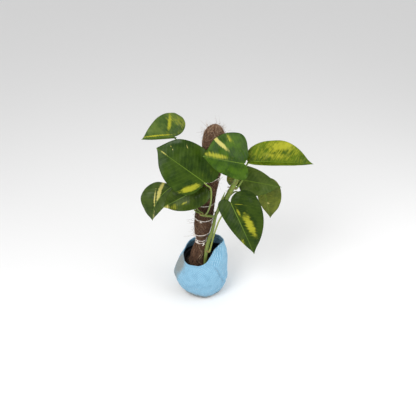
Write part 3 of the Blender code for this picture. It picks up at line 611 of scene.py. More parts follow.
def wood_finish(look):
    """Rough split wood with its grain along the stake."""
    finish = Finish("stake_wood")
    x, y, z = finish.axes()
    fine = finish.vector(finish.times(x, 900.0), finish.times(y, 900.0), finish.times(z, 30.0))
    grain = finish.noise(fine, 1.0, 4.0)
    base = finish.mix(finish.step(grain, 0.35, 0.7), look.wood, WOOD_GRAIN)
    finish.set(base_color=base, roughness=0.8)
    finish.relief(grain, 0.0003, 0.8)
    return finish.material


# ---------------------------------------------------------------- mesh helpers
class Shape:
    """Collects points, faces and marks of several forms that become one mesh."""

    def __init__(self):
        self.points = []
        self.faces = []
        self.marks = {}
        self.count = 0

    def add(self, points, faces, **marks):
        """Add a form; every mark is one number for each of its points, or one for all."""
        points = np.asarray(points, float).reshape(-1, 3)
        self.points.append(points)
        self.faces += [tuple(int(i) + self.count for i in face) for face in faces]
        for mark, values in marks.items():
            full = np.broadcast_to(np.asarray(values, float), len(points))
            self.marks.setdefault(mark, []).append(full)
        self.count += len(points)

    def piece(self, name, material, smooth=True):
        """Make the mesh object, with every mark stored at its points."""
        mesh = bpy.data.meshes.new(name)
        mesh.from_pydata(np.concatenate(self.points).tolist(), [], self.faces)
        mesh.materials.append(material)
        if smooth:
            mesh.shade_smooth()
        for mark, values in self.marks.items():
            made = mesh.attributes.new(mark, "FLOAT", "POINT")
            made.data.foreach_set("value", np.concatenate(values).astype(np.float32))
        made = bpy.data.objects.new(name, mesh)
        bpy.context.scene.collection.objects.link(made)
        return made


def grid_faces(rows, columns):
    """Quads between closed rings of points."""
    return [
        (r * columns + c, r * columns + (c + 1) % columns,
         (r + 1) * columns + (c + 1) % columns, (r + 1) * columns + c)
        for r in range(rows - 1) for c in range(columns)
    ]


def fan(centre, first, columns, under=False):
    """Triangles from a middle point to the ring that starts at a point, seen from above or under."""
    ring = [(first + c, first + (c + 1) % columns) for c in range(columns)]
    return [(centre, b, a) if under else (centre, a, b) for a, b in ring]


def turn_from(angle, towards):
    """Signed angle from a direction, from -pi to pi."""
    return (angle - towards + pi) % (2 * pi) - pi


def near(value, middle, spread):
    """One at a place, falling smoothly to nothing around it."""
    return np.exp(-((value - middle) / spread) ** 2)


def facing(angle, towards, spread):
    """One at a direction, falling smoothly to nothing around it."""
    return near(turn_from(angle, towards), 0.0, spread)


def unit(vectors):
    """Vectors brought to length one."""
    return vectors / np.maximum(np.linalg.norm(vectors, axis=-1, keepdims=True), 1e-12)


def smooth_route(points, values, step):
    """Read a Catmull-Rom curve through the points, about one point per step, with its radii."""
    knots = [np.array(p, float) for p in points]
    ends = [2 * knots[0] - knots[1]] + knots + [2 * knots[-1] - knots[-2]]
    route = [knots[0]]
    radii = [values[0]]
    for k in range(len(knots) - 1):
        a, b, c, d = ends[k:k + 4]
        pieces = max(1, round(np.linalg.norm(c - b) / step))
        for i in range(1, pieces + 1):
            t = i / pieces
            route.append(0.5 * (2 * b + (c - a) * t + (2 * a - 5 * b + 4 * c - d) * t ** 2
                                + (3 * b - a - 3 * c + d) * t ** 3))
            radii.append(values[k] + (values[k + 1] - values[k]) * t)
    return np.array(route), np.array(radii)


def route_frames(route, closed=False):
    """Two directions across a route at each of its points, carried along without twist."""
    if closed:
        tangents = unit(np.roll(route, -1, 0) - np.roll(route, 1, 0))
    else:
        tangents = unit(np.gradient(route, axis=0))
    start = np.cross(tangents[0], (0.0, 0.0, 1.0))
    if np.linalg.norm(start) < 0.1:
        start = np.cross(tangents[0], (0.0, 1.0, 0.0))
    sides = [unit(start)]
    for tangent in tangents[1:]:
        sides.append(unit(sides[-1] - tangent * (sides[-1] @ tangent)))
    sides = np.array(sides)
    return sides, np.cross(tangents, sides)


def add_tube(shape, route, radii, sides, section=None, closed=False, **marks):
    """Add a tube; section gives a share of the radius at each angle and each share of the length."""
    across, up = route_frames(route, closed)
    turn = 2 * pi * np.arange(sides) / sides
    share = np.linspace(0, 1, len(route))
    reach = np.ones((len(route), sides)) if section is None else section(turn[None, :], share[:, None])
    reach = reach * np.asarray(radii, float).reshape(-1, 1)
    rings = (route[:, None] + reach[..., None] * (np.cos(turn)[None, :, None] * across[:, None]
                                                  + np.sin(turn)[None, :, None] * up[:, None]))
    points = rings.reshape(-1, 3)
    faces = grid_faces(len(route), sides)
    spread = {mark: np.repeat(np.broadcast_to(np.asarray(value, float), len(route)), sides)
              for mark, value in marks.items()}
    if marks:
        spread["around"] = np.tile(np.cos(turn), len(route))
    if closed:
        last = (len(route) - 1) * sides
        faces += [(last + c, last + (c + 1) % sides, (c + 1) % sides, c) for c in range(sides)]
    else:
        points = np.vstack([points, route[0], route[-1]])
        first, end, last = len(points) - 2, len(points) - 1, (len(route) - 1) * sides
        faces += fan(first, 0, sides, under=True) + fan(end, last, sides)
        spread = {mark: np.append(values, [values[0], values[-1]]) for mark, values in spread.items()}
    shape.add(points, faces, **spread)


STRAND_SIDES = 3
STRAND_SIDEWAYS = (0.31, 0.23, 0.92)     # a direction that few fibres run along


def add_strands(shape, routes, radii, shades):
    """Add many thin tapering fibres at once; routes holds one row of points for each."""
    count, steps = routes.shape[:2]
    tangents = unit(np.gradient(routes, axis=1))
    across = unit(np.cross(tangents, STRAND_SIDEWAYS))
    up = np.cross(tangents, across)
    taper = 0.35 + 0.65 * np.sin(pi * np.linspace(0.12, 0.88, steps))
    reach = np.asarray(radii).reshape(-1, 1) * taper
    turn = 2 * pi * np.arange(STRAND_SIDES) / STRAND_SIDES
    rings = routes[:, :, None] + reach[..., None, None] * (
        np.cos(turn)[:, None] * across[:, :, None] + np.sin(turn)[:, None] * up[:, :, None])
    size = steps * STRAND_SIDES
    single = grid_faces(steps, STRAND_SIDES)
    single += [tuple(range(STRAND_SIDES))[::-1], tuple(range(size - STRAND_SIDES, size))]
    faces = [tuple(n * size + i for i in face) for n in range(count) for face in single]
    shape.add(rings.reshape(-1, 3), faces, shade=np.repeat(shades, size))


def uneven(points, scale, seed, octaves=4):
    """Smooth repeatable unevenness from about -1 to 1 at each point."""
    shift = Vector((17.3 * seed, 5.1 * seed, 9.7 * seed))
    return np.array([noise.fractal(Vector(p) * scale + shift, 1.0, 2.0, octaves) for p in points])


def settle(piece, slot, *nodes):
    """Join a finished piece to its body, in place of the plain solids it stands for. Its slot is not used."""
    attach(piece, BODY)
    if nodes:
        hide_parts(*nodes)
    return piece


def dress(node, material):
    """Give a solid of the frame its finish."""
    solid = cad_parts[node]
    solid.data.materials.clear()
    solid.data.materials.append(material)


# ---------------------------------------------------------------- wrapper and lining
SKIN_COLUMNS = 240
WALL_ROWS = 84
FLOOR_ROWS = 7
HEM_ROWS = 9
HEM_TURN_ROWS = 3            # how many of them the fold at the rim takes
HEM_INSET = 0.0024           # from the outside of the wall to the hem behind it
HEM_ROLL = 0.0009            # how far the fold stands over the rim
HEM_WALL = 0.12              # height of the wall that the depth of the hem is measured on
FOOT_DRAW_IN = 0.0035        # how far the cloth is drawn in where it meets the floor
SOFT_FOLDS = (0.0011, 0.0008, 0.0006)    # depths of 5, 8 and 13 upright folds round the bag
SLUMP_DEPTH = 0.0010         # of the level waves where the bag has sunk
CREASE_DEPTH = 0.0036
CREASE_WIDTH = 0.0026
CREASE_LIP = 0.0022          # how far the cloth beside the crease stands out
CREASE_LIP_AWAY = 0.0065
CREASE_LIP_WIDTH = 0.0055
CORNER_OUT = 0.0026          # how far the corner of the rim points out
BULGE_OUT = 0.0022           # how far the cloth bags out low on the right
BULGE_TOWARDS = radians(-20)
CRUMPLES_TOWARDS = radians(-24)
SETTLE_FRAMES = 18
SETTLE_LIMIT = 0.0022        # how far a point of the cloth may move as it settles
CLOTH_SPARE = 0.030          # share by which the cloth is too large for its form
FILM_ROWS = 60
FILM_INSET = 0.0036          # from the outside of the wall to the film
FILM_FLOOR = 0.0032          # lowest height of the film
FILM_THICKNESS = 0.0003
FILM_TOP = 0.76              # lowest place of its edge, as a share of the wall's height
FILM_TOP_RISE = 0.17         # and how much higher it comes at the front right
FILM_RISE_TOWARDS = radians(-50)


def rim_height(angle):
    """Height of the wrapper's rim at an angle around it."""
    corner = WRAP_CORNER_RISE * facing(angle, WRAP_CORNER_TOWARDS, WRAP_CORNER_SPREAD)
    return WRAP_RIM_HEIGHT + WRAP_RIM_RISE * np.cos(angle - WRAP_RISE_TOWARDS) + corner


def rounded(values, reach=5):
    """Round the corners of a profile by averaging neighbours, with its ends kept."""
    padded = np.concatenate([np.full(reach, values[0]), values, np.full(reach, values[-1])])
    kernel = np.hanning(2 * reach + 1)
    made = np.convolve(padded, kernel / kernel.sum(), "valid")
    made[0], made[-1] = values[0], values[-1]
    return made


def crease_offset(angle, share):
    """Distance around the wrapper from its long crease."""
    places = np.array(CREASE[::-1])
    line = np.radians(np.interp(share, places[:, 1], places[:, 0]))
    return turn_from(angle, line) * WRAP_RADII[3]


def crease_shown(share):
    """How strongly the long crease shows at a share of the height."""
    return np.clip((share - 0.22) / 0.12, 0, 1) * np.clip((0.93 - share) / 0.10, 0, 1)


def folds(angle, share):
    """How far the cloth stands out from its plain round form, apart from its crumples."""
    upper = 0.35 + 0.65 * share ** 1.5
    wide, middling, narrow = SOFT_FOLDS
    soft = wide * np.cos(5 * angle + 0.6) * upper + middling * np.cos(8 * angle - 1.1 + 2.0 * share)
    soft = soft + narrow * np.cos(13 * angle + 5.0 * share) * (1 - 0.5 * share)
    slump = SLUMP_DEPTH * np.cos(17 * share + 2.4 * np.cos(angle + 0.8)) * near(share, 0.20, 0.22)
    off = crease_offset(angle, share)
    lip = CREASE_LIP * near(off, CREASE_LIP_AWAY, CREASE_LIP_WIDTH)
    crease = crease_shown(share) * (lip - CREASE_DEPTH * near(off, 0.0, CREASE_WIDTH))
    corner = CORNER_OUT * share ** 3 * facing(angle, WRAP_CORNER_TOWARDS, radians(9))
    bulge = BULGE_OUT * near(share, 0.28, 0.11) * facing(angle, BULGE_TOWARDS, radians(14))
    return soft + slump + crease + corner + bulge


def crumples(points, angle, share, depth):
    """Small sharp folds, deepest low on the right and near the base."""
    ridged = 1 - 2 * np.abs(uneven(points, 48.0, 3, 3))
    right = near(share, 0.22, 0.13) * facing(angle, CRUMPLES_TOWARDS, radians(22))
    low = 0.55 * near(share, 0.06, 0.08)
    return depth * (ridged - 0.4) * np.clip(right + low + 0.10, 0, 1)


def wall_points():
    """Grid of the cloth's outside from its base to its rim, before it settles."""
    share = np.linspace(0, 1, WALL_ROWS)
    angle = 2 * pi * np.arange(SKIN_COLUMNS) / SKIN_COLUMNS
    radius = rounded(np.interp(share, WRAP_SHARES, WRAP_RADII))
    middle = np.interp(share, *WRAP_MIDDLES)
    s, a = np.meshgrid(share, angle, indexing="ij")
    neck = WRAP_SHARES[-2] - 0.03
    pulled = WRAP_FLAT * np.clip((s - neck) / (1 - neck), 0, 1) ** 1.3
    flat = 1 - pulled * facing(a, WRAP_FLAT_TOWARDS, WRAP_FLAT_SPREAD)
    reach = radius[:, None] * flat + folds(a, s)
    plain = np.stack([middle[:, None] + reach * np.cos(a), reach * np.sin(a), s * rim_height(a)], -1)
    depth = bpy.context.scene.pothos_wrapper.crumple
    extra = crumples(plain.reshape(-1, 3), a.ravel(), s.ravel(), depth).reshape(s.shape)
    outwards = np.stack([np.cos(a), np.sin(a), 0 * a], -1)
    made = plain + outwards * extra[..., None]
    foot = np.clip(1 - s / 0.06, 0, 1)[..., None] ** 2
    made = made - outwards * FOOT_DRAW_IN * foot
    made[0, :, 2] = 0.0
    made[..., 2] = np.maximum(made[..., 2], 0.0)
    return made, a, s


def settle_cloth(points):
    """Let the wall settle as cloth that is a little too large, held at its base and its rim."""
    rows, columns = points.shape[:2]
    shape = Shape()
    shape.add(points, grid_faces(rows, columns))
    cloth = shape.piece("settling_wall", None, smooth=False)
    held = cloth.vertex_groups.new(name="held")
    strength = np.clip(np.abs(np.linspace(-1, 1, rows)) * 12 - 11, 0, 1)
    for row, weight in enumerate(strength):
        if weight > 0:
            held.add(list(range(row * columns, (row + 1) * columns)), float(weight), "REPLACE")
    settings = cloth.modifiers.new("cloth", "CLOTH").settings
    settings.vertex_group_mass = "held"
    settings.quality = 6
    settings.mass = 0.15
    settings.tension_stiffness = settings.compression_stiffness = 18
    settings.shear_stiffness = 6
    settings.bending_stiffness = 0.8
    settings.shrink_min = -CLOTH_SPARE
    settings.effector_weights.gravity = 0.6
    scene = bpy.context.scene
    for step in range(1, SETTLE_FRAMES + 1):
        scene.frame_set(step)
    shown = cloth.evaluated_get(bpy.context.evaluated_depsgraph_get())
    moved = np.empty(rows * columns * 3, np.float32)
    shown.data.vertices.foreach_get("co", moved)
    scene.frame_set(1)
    bpy.data.objects.remove(cloth)
    change = moved.astype(float).reshape(points.shape) - points
    far = np.linalg.norm(change, axis=-1, keepdims=True)
    change = change * np.minimum(1.0, SETTLE_LIMIT / np.maximum(far, 1e-9))
    result = points + change
    result[0] = points[0]
    result[..., 2] = np.maximum(result[..., 2], 0.0)
    return result


def grid_normals(points):
    """Outward directions of a wall grid that closes round."""
    along = np.roll(points, -1, 1) - np.roll(points, 1, 1)
    rise = np.gradient(points, axis=0)
    return unit(np.cross(along, rise))


def stains(angle, share):
    """Soiling on the left side and shoulder and on the foot all round, and a darker line along the long
    crease.
    """
    left = 0.90 * facing(angle, radians(192), radians(24)) * (1 - 0.35 * share)
    foot = 1.05 * facing(angle, radians(-132), radians(62)) * near(share, 0.0, 0.23)
    foot = foot + 0.55 * near(share, 0.0, 0.09)
    shoulder = 0.65 * near(share, 0.84, 0.15) * facing(angle, radians(186), radians(28))
    crease = 0.45 * near(crease_offset(angle, share), 0.0, 0.0018) * crease_shown(share)
    return np.clip(left + foot + shoulder + crease, 0, 1)


def make_wall():
    """The settled wall of the wrapper, shared by the cloth and its lining."""
    points, angle, share = wall_points()
    points = settle_cloth(points)
    return points, angle, share


def make_wrapper():
    """The woven bag, from the middle of its base up its wall, with its hem turned in."""
    look = bpy.context.scene.pothos_wrapper
    wall, angle, share = make_wall()
    normals = grid_normals(wall)
    centre = wall[0].mean(0)
    rings = [centre + (wall[0] - centre) * k / FLOOR_ROWS for k in range(1, FLOOR_ROWS)]
    marks = [0 * share[0] for _ in rings]
    rows = rings + list(wall)
    marks += list(share)
    inside = [0.0] * len(rows)
    still = HEM_TURN_ROWS - 1
    for k in range(1, HEM_ROWS + 1):
        fold = min(1.0, k / HEM_TURN_ROWS)
        depth = look.hem * max(0.0, (k - still) / (HEM_ROWS - still))
        place = np.interp(1 - depth / HEM_WALL, np.linspace(0, 1, WALL_ROWS), np.arange(WALL_ROWS))
        lower, upper = int(place), min(int(place) + 1, WALL_ROWS - 1)
        base = wall[lower] + (wall[upper] - wall[lower]) * (place - lower)
        lift = HEM_ROLL * sin(pi * fold)
        rows.append(base - normals[lower] * HEM_INSET * fold + np.array((0, 0, lift)))
        marks.append(share[-1])
        inside.append(1.0)
    grid = np.array(rows)
    shape = Shape()
    turned = np.broadcast_to(angle[0], (len(rows), SKIN_COLUMNS))
    points = np.vstack([grid.reshape(-1, 3), centre])
    faces = grid_faces(len(rows), SKIN_COLUMNS) + fan(len(points) - 1, 0, SKIN_COLUMNS, under=True)
    stain = np.append(stains(turned, np.array(marks)).ravel(), 0.6)
    # the inside mark carries the painted shade of the hem
    shape.add(points, faces, stain=stain, inside=np.append(np.repeat(inside, SKIN_COLUMNS), 0.0))
    cloth = thickened(shape.piece("wrapper_cloth", woven_finish(look)), look.thickness)
    settle(cloth, "wrapper", "wrapper")
    return wall, normals, angle[0]


def thickened(piece, thickness):
    """Give a sheet its thickness, inwards from its outer face, and keep the result as its mesh."""
    solid = piece.modifiers.new("thickness", "SOLIDIFY")
    solid.thickness = thickness
    solid.offset = -1.0
    shown = piece.evaluated_get(bpy.context.evaluated_depsgraph_get())
    made = bpy.data.meshes.new_from_object(shown)
    piece.modifiers.clear()
    piece.data = made
    return piece


def make_liner(wall, normals, angle):
    """The dark film inside the cloth, reaching highest at the front right."""
    look = bpy.context.scene.pothos_wrapper
    top = FILM_TOP + FILM_TOP_RISE * facing(angle, FILM_RISE_TOWARDS, radians(75))
    columns = np.arange(SKIN_COLUMNS)
    rows = []
    for level in np.linspace(0.03, 1.0, FILM_ROWS):
        place = level * top * (WALL_ROWS - 1)
        lower = np.clip(place.astype(int), 0, WALL_ROWS - 2)
        part = (place - lower)[:, None]
        base = wall[lower, columns] * (1 - part) + wall[lower + 1, columns] * part
        rows.append(base - normals[lower, columns] * FILM_INSET)
    grid = np.array(rows)
    crinkle = uneven(grid.reshape(-1, 3), 85.0, 8, 4).reshape(grid.shape[:2])
    grid = grid - grid_normals(grid) * (0.0006 + 0.0008 * np.abs(crinkle))[..., None]
    grid[..., 2] = np.maximum(grid[..., 2], FILM_FLOOR)
    grid[0, :, 2] = FILM_FLOOR
    centre = grid[0].mean(0)
    points = np.vstack([grid.reshape(-1, 3), centre])
    faces = grid_faces(len(rows), SKIN_COLUMNS) + fan(len(points) - 1, 0, SKIN_COLUMNS, under=True)
    shape = Shape()
    shape.add(points, faces)
    film = thickened(shape.piece("wrapper_film", film_finish(look)), FILM_THICKNESS)
    settle(film, "liner", "wrapper_liner")


# ---------------------------------------------------------------- soil
SOIL_RINGS = 46
SOIL_COLUMNS = 150
SOIL_GAP = 0.0003            # between the soil and the pot
SOIL_TAPER = 0.77            # radius of its foot as a share of the radius of its top
SOIL_MOUND = 0.0030          # how far it rises round the pole
CRUMB_EDGE = 0.005           # how far the crumbs stay from the soil's edge
CRUMB_SIDES = 7
CRUMB_LEVELS = (-0.8, -0.2, 0.45, 0.85)


def level_ring(x, y, z, reach, columns):
    """Points of a level circle round a place."""
    turn = 2 * pi * np.arange(columns) / columns
    return np.stack([x + reach * np.cos(turn), y + reach * np.sin(turn), np.full(columns, z)], -1)


def make_soil():
    """Lumpy soil that fills the pot, with loose crumbs on it."""
    look = bpy.context.scene.pothos_ground
    low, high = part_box("soil")
    centre = (low + high) / 2
    radius = (high.x - low.x) / 2 - SOIL_GAP
    shape = Shape()
    rows = [level_ring(centre.x, centre.y, low.z, radius * SOIL_TAPER, SOIL_COLUMNS)]
    for k in range(SOIL_RINGS, 0, -1):
        rows.append(level_ring(centre.x, centre.y, high.z, radius * k / SOIL_RINGS, SOIL_COLUMNS))
    grid = np.array(rows)
    top = grid[1:].reshape(-1, 3)
    lump = 0.0022 * uneven(top, 75.0, 4, 5) + 0.0009 * uneven(top, 330.0, 6, 3)
    away = np.linalg.norm(top[:, :2] - (pole_x(high.z), 0.0), axis=1)
    top[:, 2] += np.clip(lump, -0.0035, 0.0030) + SOIL_MOUND * near(away, 0.0, 0.022) - 0.0012
    grid[1:] = top.reshape(grid[1:].shape)
    points = np.vstack([grid.reshape(-1, 3), (centre.x, centre.y, grid[-1][:, 2].mean()),
                        (centre.x, centre.y, low.z)])
    last = (len(rows) - 1) * SOIL_COLUMNS
    faces = grid_faces(len(rows), SOIL_COLUMNS) + fan(len(points) - 2, last, SOIL_COLUMNS)
    faces += fan(len(points) - 1, 0, SOIL_COLUMNS, under=True)
    shape.add(points, faces, shade=0.0)
    rng = np.random.default_rng(21)
    for _ in range(look.crumbs):
        reach, way = (radius - CRUMB_EDGE) * sqrt(rng.random()), 2 * pi * rng.random()
        spot = np.array((centre.x + reach * cos(way), centre.y + reach * sin(way), high.z))
        add_crumb(shape, spot, 0.0005 + 0.0016 * rng.random() ** 2.5, rng)
    settle(shape.piece("soil_and_crumbs", earth_finish(look)), "soil", "soil")


def add_crumb(shape, spot, size, rng):
    """Add one rough crumb, a stretched and dented ball with few sides."""
    rows = [level_ring(0.0, 0.0, rise, sqrt(1 - rise ** 2), CRUMB_SIDES) for rise in CRUMB_LEVELS]
    ball = np.vstack([np.array(rows).reshape(-1, 3), (0, 0, -1), (0, 0, 1)])
    ball = ball * (1 + 0.28 * rng.standard_normal((len(ball), 1))) * rng.uniform(0.6, 1.3, 3)
    faces = grid_faces(len(rows), CRUMB_SIDES)
    faces += fan(len(ball) - 2, 0, CRUMB_SIDES, under=True)
    faces += fan(len(ball) - 1, (len(rows) - 1) * CRUMB_SIDES, CRUMB_SIDES)
    shape.add(spot + size * ball, faces, shade=rng.random() ** 2)


# ---------------------------------------------------------------- pole
CORE_ROWS = 200
CORE_COLUMNS = 72
CORE_SUNK = 0.0016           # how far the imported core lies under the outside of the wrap
CORE_BUMPS = 0.0011
STRAND_TURN_RADIUS = 0.021   # radius at which a slanting fibre's way round is worked out
# where stray hairs grow: height, spread of it, and share of them
HAIR_PLACES = np.array([
    (0.455, 0.012, 0.42), (0.200, 0.022, 0.34), (0.330, 0.060, 0.16), (0.170, 0.012, 0.08),
])


def pole_x(z):
    """Sideways place of the leaning pole's axis at a height."""
    return POLE_FOOT_X + POLE_LEAN * z


def lobes(angle):
    """Slight unevenness around the coir wrap."""
    return 1.0 + 0.025 * np.cos(3 * angle + 1.0) + 0.015 * np.cos(5 * angle)


def sleeve_radius(z, angle):
    """Outer radius of the coir wrap at a height and angle."""
    return np.interp(z, SLEEVE_PROFILE[:, 0], SLEEVE_PROFILE[:, 1]) * lobes(angle)


def beside_pole(z, reach, angle):
    """Points at a height, away from the pole's axis by a reach."""
    return np.stack([pole_x(z) + reach * np.cos(angle), reach * np.sin(angle), z], -1)


def sleeve_at(run, angle, away):
    """Points at a distance along the wrap's profile; past its top they come down the far side."""
    over = run > SLEEVE_RUN[-1]
    run = np.where(over, 2 * SLEEVE_RUN[-1] - run, run)
    angle = np.where(over, angle + pi, angle)
    z = np.interp(run, SLEEVE_RUN, SLEEVE_PROFILE[:, 0])
    reach = np.interp(run, SLEEVE_RUN, SLEEVE_PROFILE[:, 1]) * lobes(angle)
    tilt = np.clip((z - 0.440) / 0.030, 0, 1)
    reach = reach + away * (1 - 0.7 * tilt)
    return np.stack([pole_x(z) + reach * np.cos(angle), reach * np.sin(angle), z + away * tilt], -1)


def add_core(shape):
    """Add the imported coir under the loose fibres."""
    runs = np.linspace(0.0, SLEEVE_RUN[-1] - 0.0005, CORE_ROWS)
    turn = 2 * pi * np.arange(CORE_COLUMNS) / CORE_COLUMNS
    r, a = np.meshgrid(runs, turn, indexing="ij")
    flat = sleeve_at(r, a, np.full(r.shape, -CORE_SUNK))
    bump = uneven(flat.reshape(-1, 3), 190.0, 2, 4).reshape(r.shape)
    grid = sleeve_at(r, a, -CORE_SUNK + CORE_BUMPS * bump)
    points = np.vstack([grid.reshape(-1, 3), grid[0].mean(0), grid[-1].mean(0)])
    faces = grid_faces(CORE_ROWS, CORE_COLUMNS)
    faces += fan(len(points) - 2, 0, CORE_COLUMNS, under=True)
    faces += fan(len(points) - 1, (CORE_ROWS - 1) * CORE_COLUMNS, CORE_COLUMNS)
    # painted shade: the core takes the dark colour of shaded coir, darkest in its hollows
    shade = np.append(0.16 + 0.22 * bump.ravel(), [0.1, 0.1])
    shape.add(points, faces, shade=np.clip(shade, 0, 0.5))


def wrap_strands(rng, count, steps=8):
    """Routes of fibres that lie along and across the wrap."""
    start = rng.uniform(0.030, SLEEVE_RUN[-1] + 0.010, count)
    angle = rng.uniform(0, 2 * pi, count)
    t = np.linspace(0, 1, steps)
    long = rng.uniform(0.012, 0.045, count)
    lean = rng.normal(0, 0.75, count)
    run = start[:, None] + (long * np.cos(lean))[:, None] * (t - 0.5)
    around = angle[:, None] + (long * np.sin(lean) / STRAND_TURN_RADIUS)[:, None] * (t - 0.5)
    around = around + 0.06 * np.sin(2 * pi * (t * rng.uniform(0.5, 1.6, (count, 1)) + rng.random((count, 1))))
    lift = rng.uniform(-0.0012, 0.0004, (count, 1)) + rng.uniform(0, 0.0015, (count, 1)) * (2 * t - 1) ** 4
    near_waist = near(np.interp(run, SLEEVE_RUN, SLEEVE_PROFILE[:, 0]), WAIST_HEIGHT, 0.012)
    return sleeve_at(np.clip(run, 0.001, None), around, lift * (1 - 0.8 * near_waist))


def root_strands(rng, count, steps=14):
    """Routes of the loose strands that hang from the waist and spread on the soil."""
    t = np.linspace(0, 1, steps)
    top = rng.uniform(0.128, 0.168, (count, 1))
    foot = PLANT_DATUM + rng.uniform(-0.0005, 0.0040, (count, 1))
    z = top + (foot - top) * t
    angle = rng.uniform(0, 2 * pi, (count, 1)) + rng.normal(0, 0.35, (count, 1)) * t
    angle = angle + 0.24 * np.sin(2 * pi * (t * rng.uniform(0.6, 1.8, (count, 1)) + rng.random((count, 1))))
    swell = rng.uniform(-0.0012, 0.0024, (count, 1)) * np.sin(pi * np.clip(t * 1.1, 0, 1))
    flare = rng.uniform(0.0, 0.0085, (count, 1)) * np.clip((t - 0.72) / 0.28, 0, 1) ** 2
    return beside_pole(z, sleeve_radius(z, angle) + swell + flare, angle)


def stray_hairs(rng, count, steps=10):
    """Routes of single fibres that stick out, thickest round the knob and above the waist."""
    middle, spread, share = HAIR_PLACES.T
    choice = rng.choice(len(share), count, p=share)
    height = np.clip(middle[choice] + spread[choice] * rng.standard_normal(count), 0.10, 0.468)
    start = np.interp(height, SLEEVE_PROFILE[:, 0], SLEEVE_RUN)
    angle = rng.uniform(0, 2 * pi, count)
    base = sleeve_at(start, angle, np.full(count, -0.001))
    outward = np.stack([np.cos(angle), np.sin(angle), rng.normal(0.15, 0.5, count)], -1)
    long = rng.uniform(0.004, 0.0145, (count, 1, 1))
    t = np.linspace(0, 1, steps)[None, :, None]
    curl = rng.normal(0, 0.7, (count, 1, 3))
    return base[:, None] + long * (unit(outward)[:, None] * t + curl * t ** 2 * 0.8)


def make_coir(look):
    """The coir wrap: its packed core with the skirt and stray hairs, and the loose fibres on it."""
    rng = np.random.default_rng(5)
    material = fibre_finish("coir_fibre", look.dark, look.brown, look.pale)
    loose = Shape()
    routes = wrap_strands(rng, look.strand_count)
    knob = np.clip((routes[:, 4, 2] - 0.430) / 0.025, 0, 1)
    add_strands(loose, routes, look.strand_radius * rng.uniform(0.5, 1.3, len(routes)),
                np.clip(rng.beta(2.0, 2.2, len(routes)) + 0.22 * knob, 0, 1))
    packed = Shape()
    add_core(packed)
    roots = root_strands(rng, look.root_count)
    add_strands(packed, roots, look.strand_radius * rng.uniform(1.0, 2.6, len(roots)),
                np.clip(rng.beta(2.0, 2.8, len(roots)), 0, 1))
    hairs = stray_hairs(rng, look.hair_count)
    add_strands(packed, hairs, look.strand_radius * rng.uniform(0.40, 0.80, len(hairs)),
                rng.uniform(0.4, 1.0, len(hairs)))
    settle(packed.piece("coir_wrap", material), "coir", "coir_sleeve")
    settle(loose.piece("coir_loose_fibres", material), "coir", "coir_sleeve")


# ---------------------------------------------------------------- string ties
KNOT_SIZE = 0.00048          # of a trefoil whose coils reach three times as far
KNOT_OUT = 0.0012            # from the string's route to the middle of the knot
TAIL_BOW = 0.0030            # how far a tail stands off the coir


def add_string(shape, route, look, closed=False):
    """Add a string of two plies twisted round each other along a route."""
    across, up = route_frames(route, closed)
    steps = np.linalg.norm(np.diff(route, axis=0), axis=1)
    run = np.concatenate([[0], np.cumsum(steps)])
    total = run[-1] + (np.linalg.norm(route[0] - route[-1]) if closed else 0.0)
    turns = max(1, round(total / look.lay))
    drift = 0.0
    if closed:
        drift = atan2(float(across[0] @ up[-1]), float(across[0] @ across[-1]))
    for ply in (0.0, pi):
        phase = ply + (2 * pi * turns + drift) * run / total
        offset = look.ply * 0.82 * (np.cos(phase)[:, None] * across + np.sin(phase)[:, None] * up)
        add_tube(shape, route + offset, np.full(len(route), look.ply), 6, closed=closed)


def tie_route(name, steps=220):
    """The closed route of a string around the coir wrap."""
    height, rise, _ = TIES[name]
    angle = 2 * pi * np.arange(steps) / steps
    z = height + rise * sleeve_radius(height, angle) * np.cos(angle)
    reach = np.max([sleeve_radius(z + shift, angle) for shift in (-TIE_RADIUS, 0, TIE_RADIUS)], axis=0)
    reach = reach + 0.6 * TIE_RADIUS + 0.00025 * np.sin(9 * angle + 40 * height)
    z = z + 0.0005 * np.sin(2 * angle + 90 * height)
    return beside_pole(z, reach, angle)


def make_tie(name, look, material, rng):
    """One tie: its loop, its knot and its two tails."""
    shape = Shape()
    route = tie_route(name)
    add_string(shape, route, look, closed=True)
    place = int(len(route) * (radians(TIES[name][2]) % (2 * pi)) / (2 * pi))
    spot = route[place]
    outward = unit(spot - (pole_x(spot[2]), 0.0, spot[2]))
    up = np.array((0.0, 0.0, 1.0))
    sideways = unit(np.cross(up, outward))
    t = np.linspace(0, 2 * pi, 60, endpoint=False)[:, None]
    centre = spot + outward * KNOT_OUT
    knot = (KNOT_SIZE * (np.sin(t) + 2 * np.sin(2 * t)) * sideways
            + KNOT_SIZE * (np.cos(t) - 2 * np.cos(2 * t)) * up
            - KNOT_SIZE * np.sin(3 * t) * outward)
    add_string(shape, centre + knot, look, closed=True)
    for side in (-1, 1):
        long = rng.uniform(0.003, 0.007)
        s = np.linspace(0, 1, 26)[:, None]
        tail = (centre + sideways * side * long * 0.55 * s + outward * TAIL_BOW * np.sin(pi * s)
                - up * long * (0.25 * s + 0.6 * s ** 2))
        add_string(shape, tail, look)
    settle(shape.piece(name + "_string", material), "string", name)


# ---------------------------------------------------------------- leaf blades
LOBE_STEPS = 24              # points of a margin from the notch to its widest place
TIP_STEPS = 42               # and from there to the tip
GROOVE_DEPTH = 0.00045       # of the upper side along the midrib
GROOVE_WIDTH = 0.0012
RIB_HEIGHT = 0.0007          # of the midrib on the underside
RIB_WIDTH = 0.0016
TIP_FROM = 0.76              # share of the length at which the slim tip starts
PATCH_CROSSING = 0.0012      # how far a patch runs over the midrib


def bezier(p0, p1, p2, p3, steps):
    """Points of a cubic Bezier arc in the plane of a blade."""
    t = np.linspace(0.0, 1.0, steps + 1)[:, None]
    p0, p1, p2, p3 = (np.array(p, float) for p in (p0, p1, p2, p3))
    return (1 - t) ** 3 * p0 + 3 * (1 - t) ** 2 * t * p1 + 3 * (1 - t) * t ** 2 * p2 + t ** 3 * p3


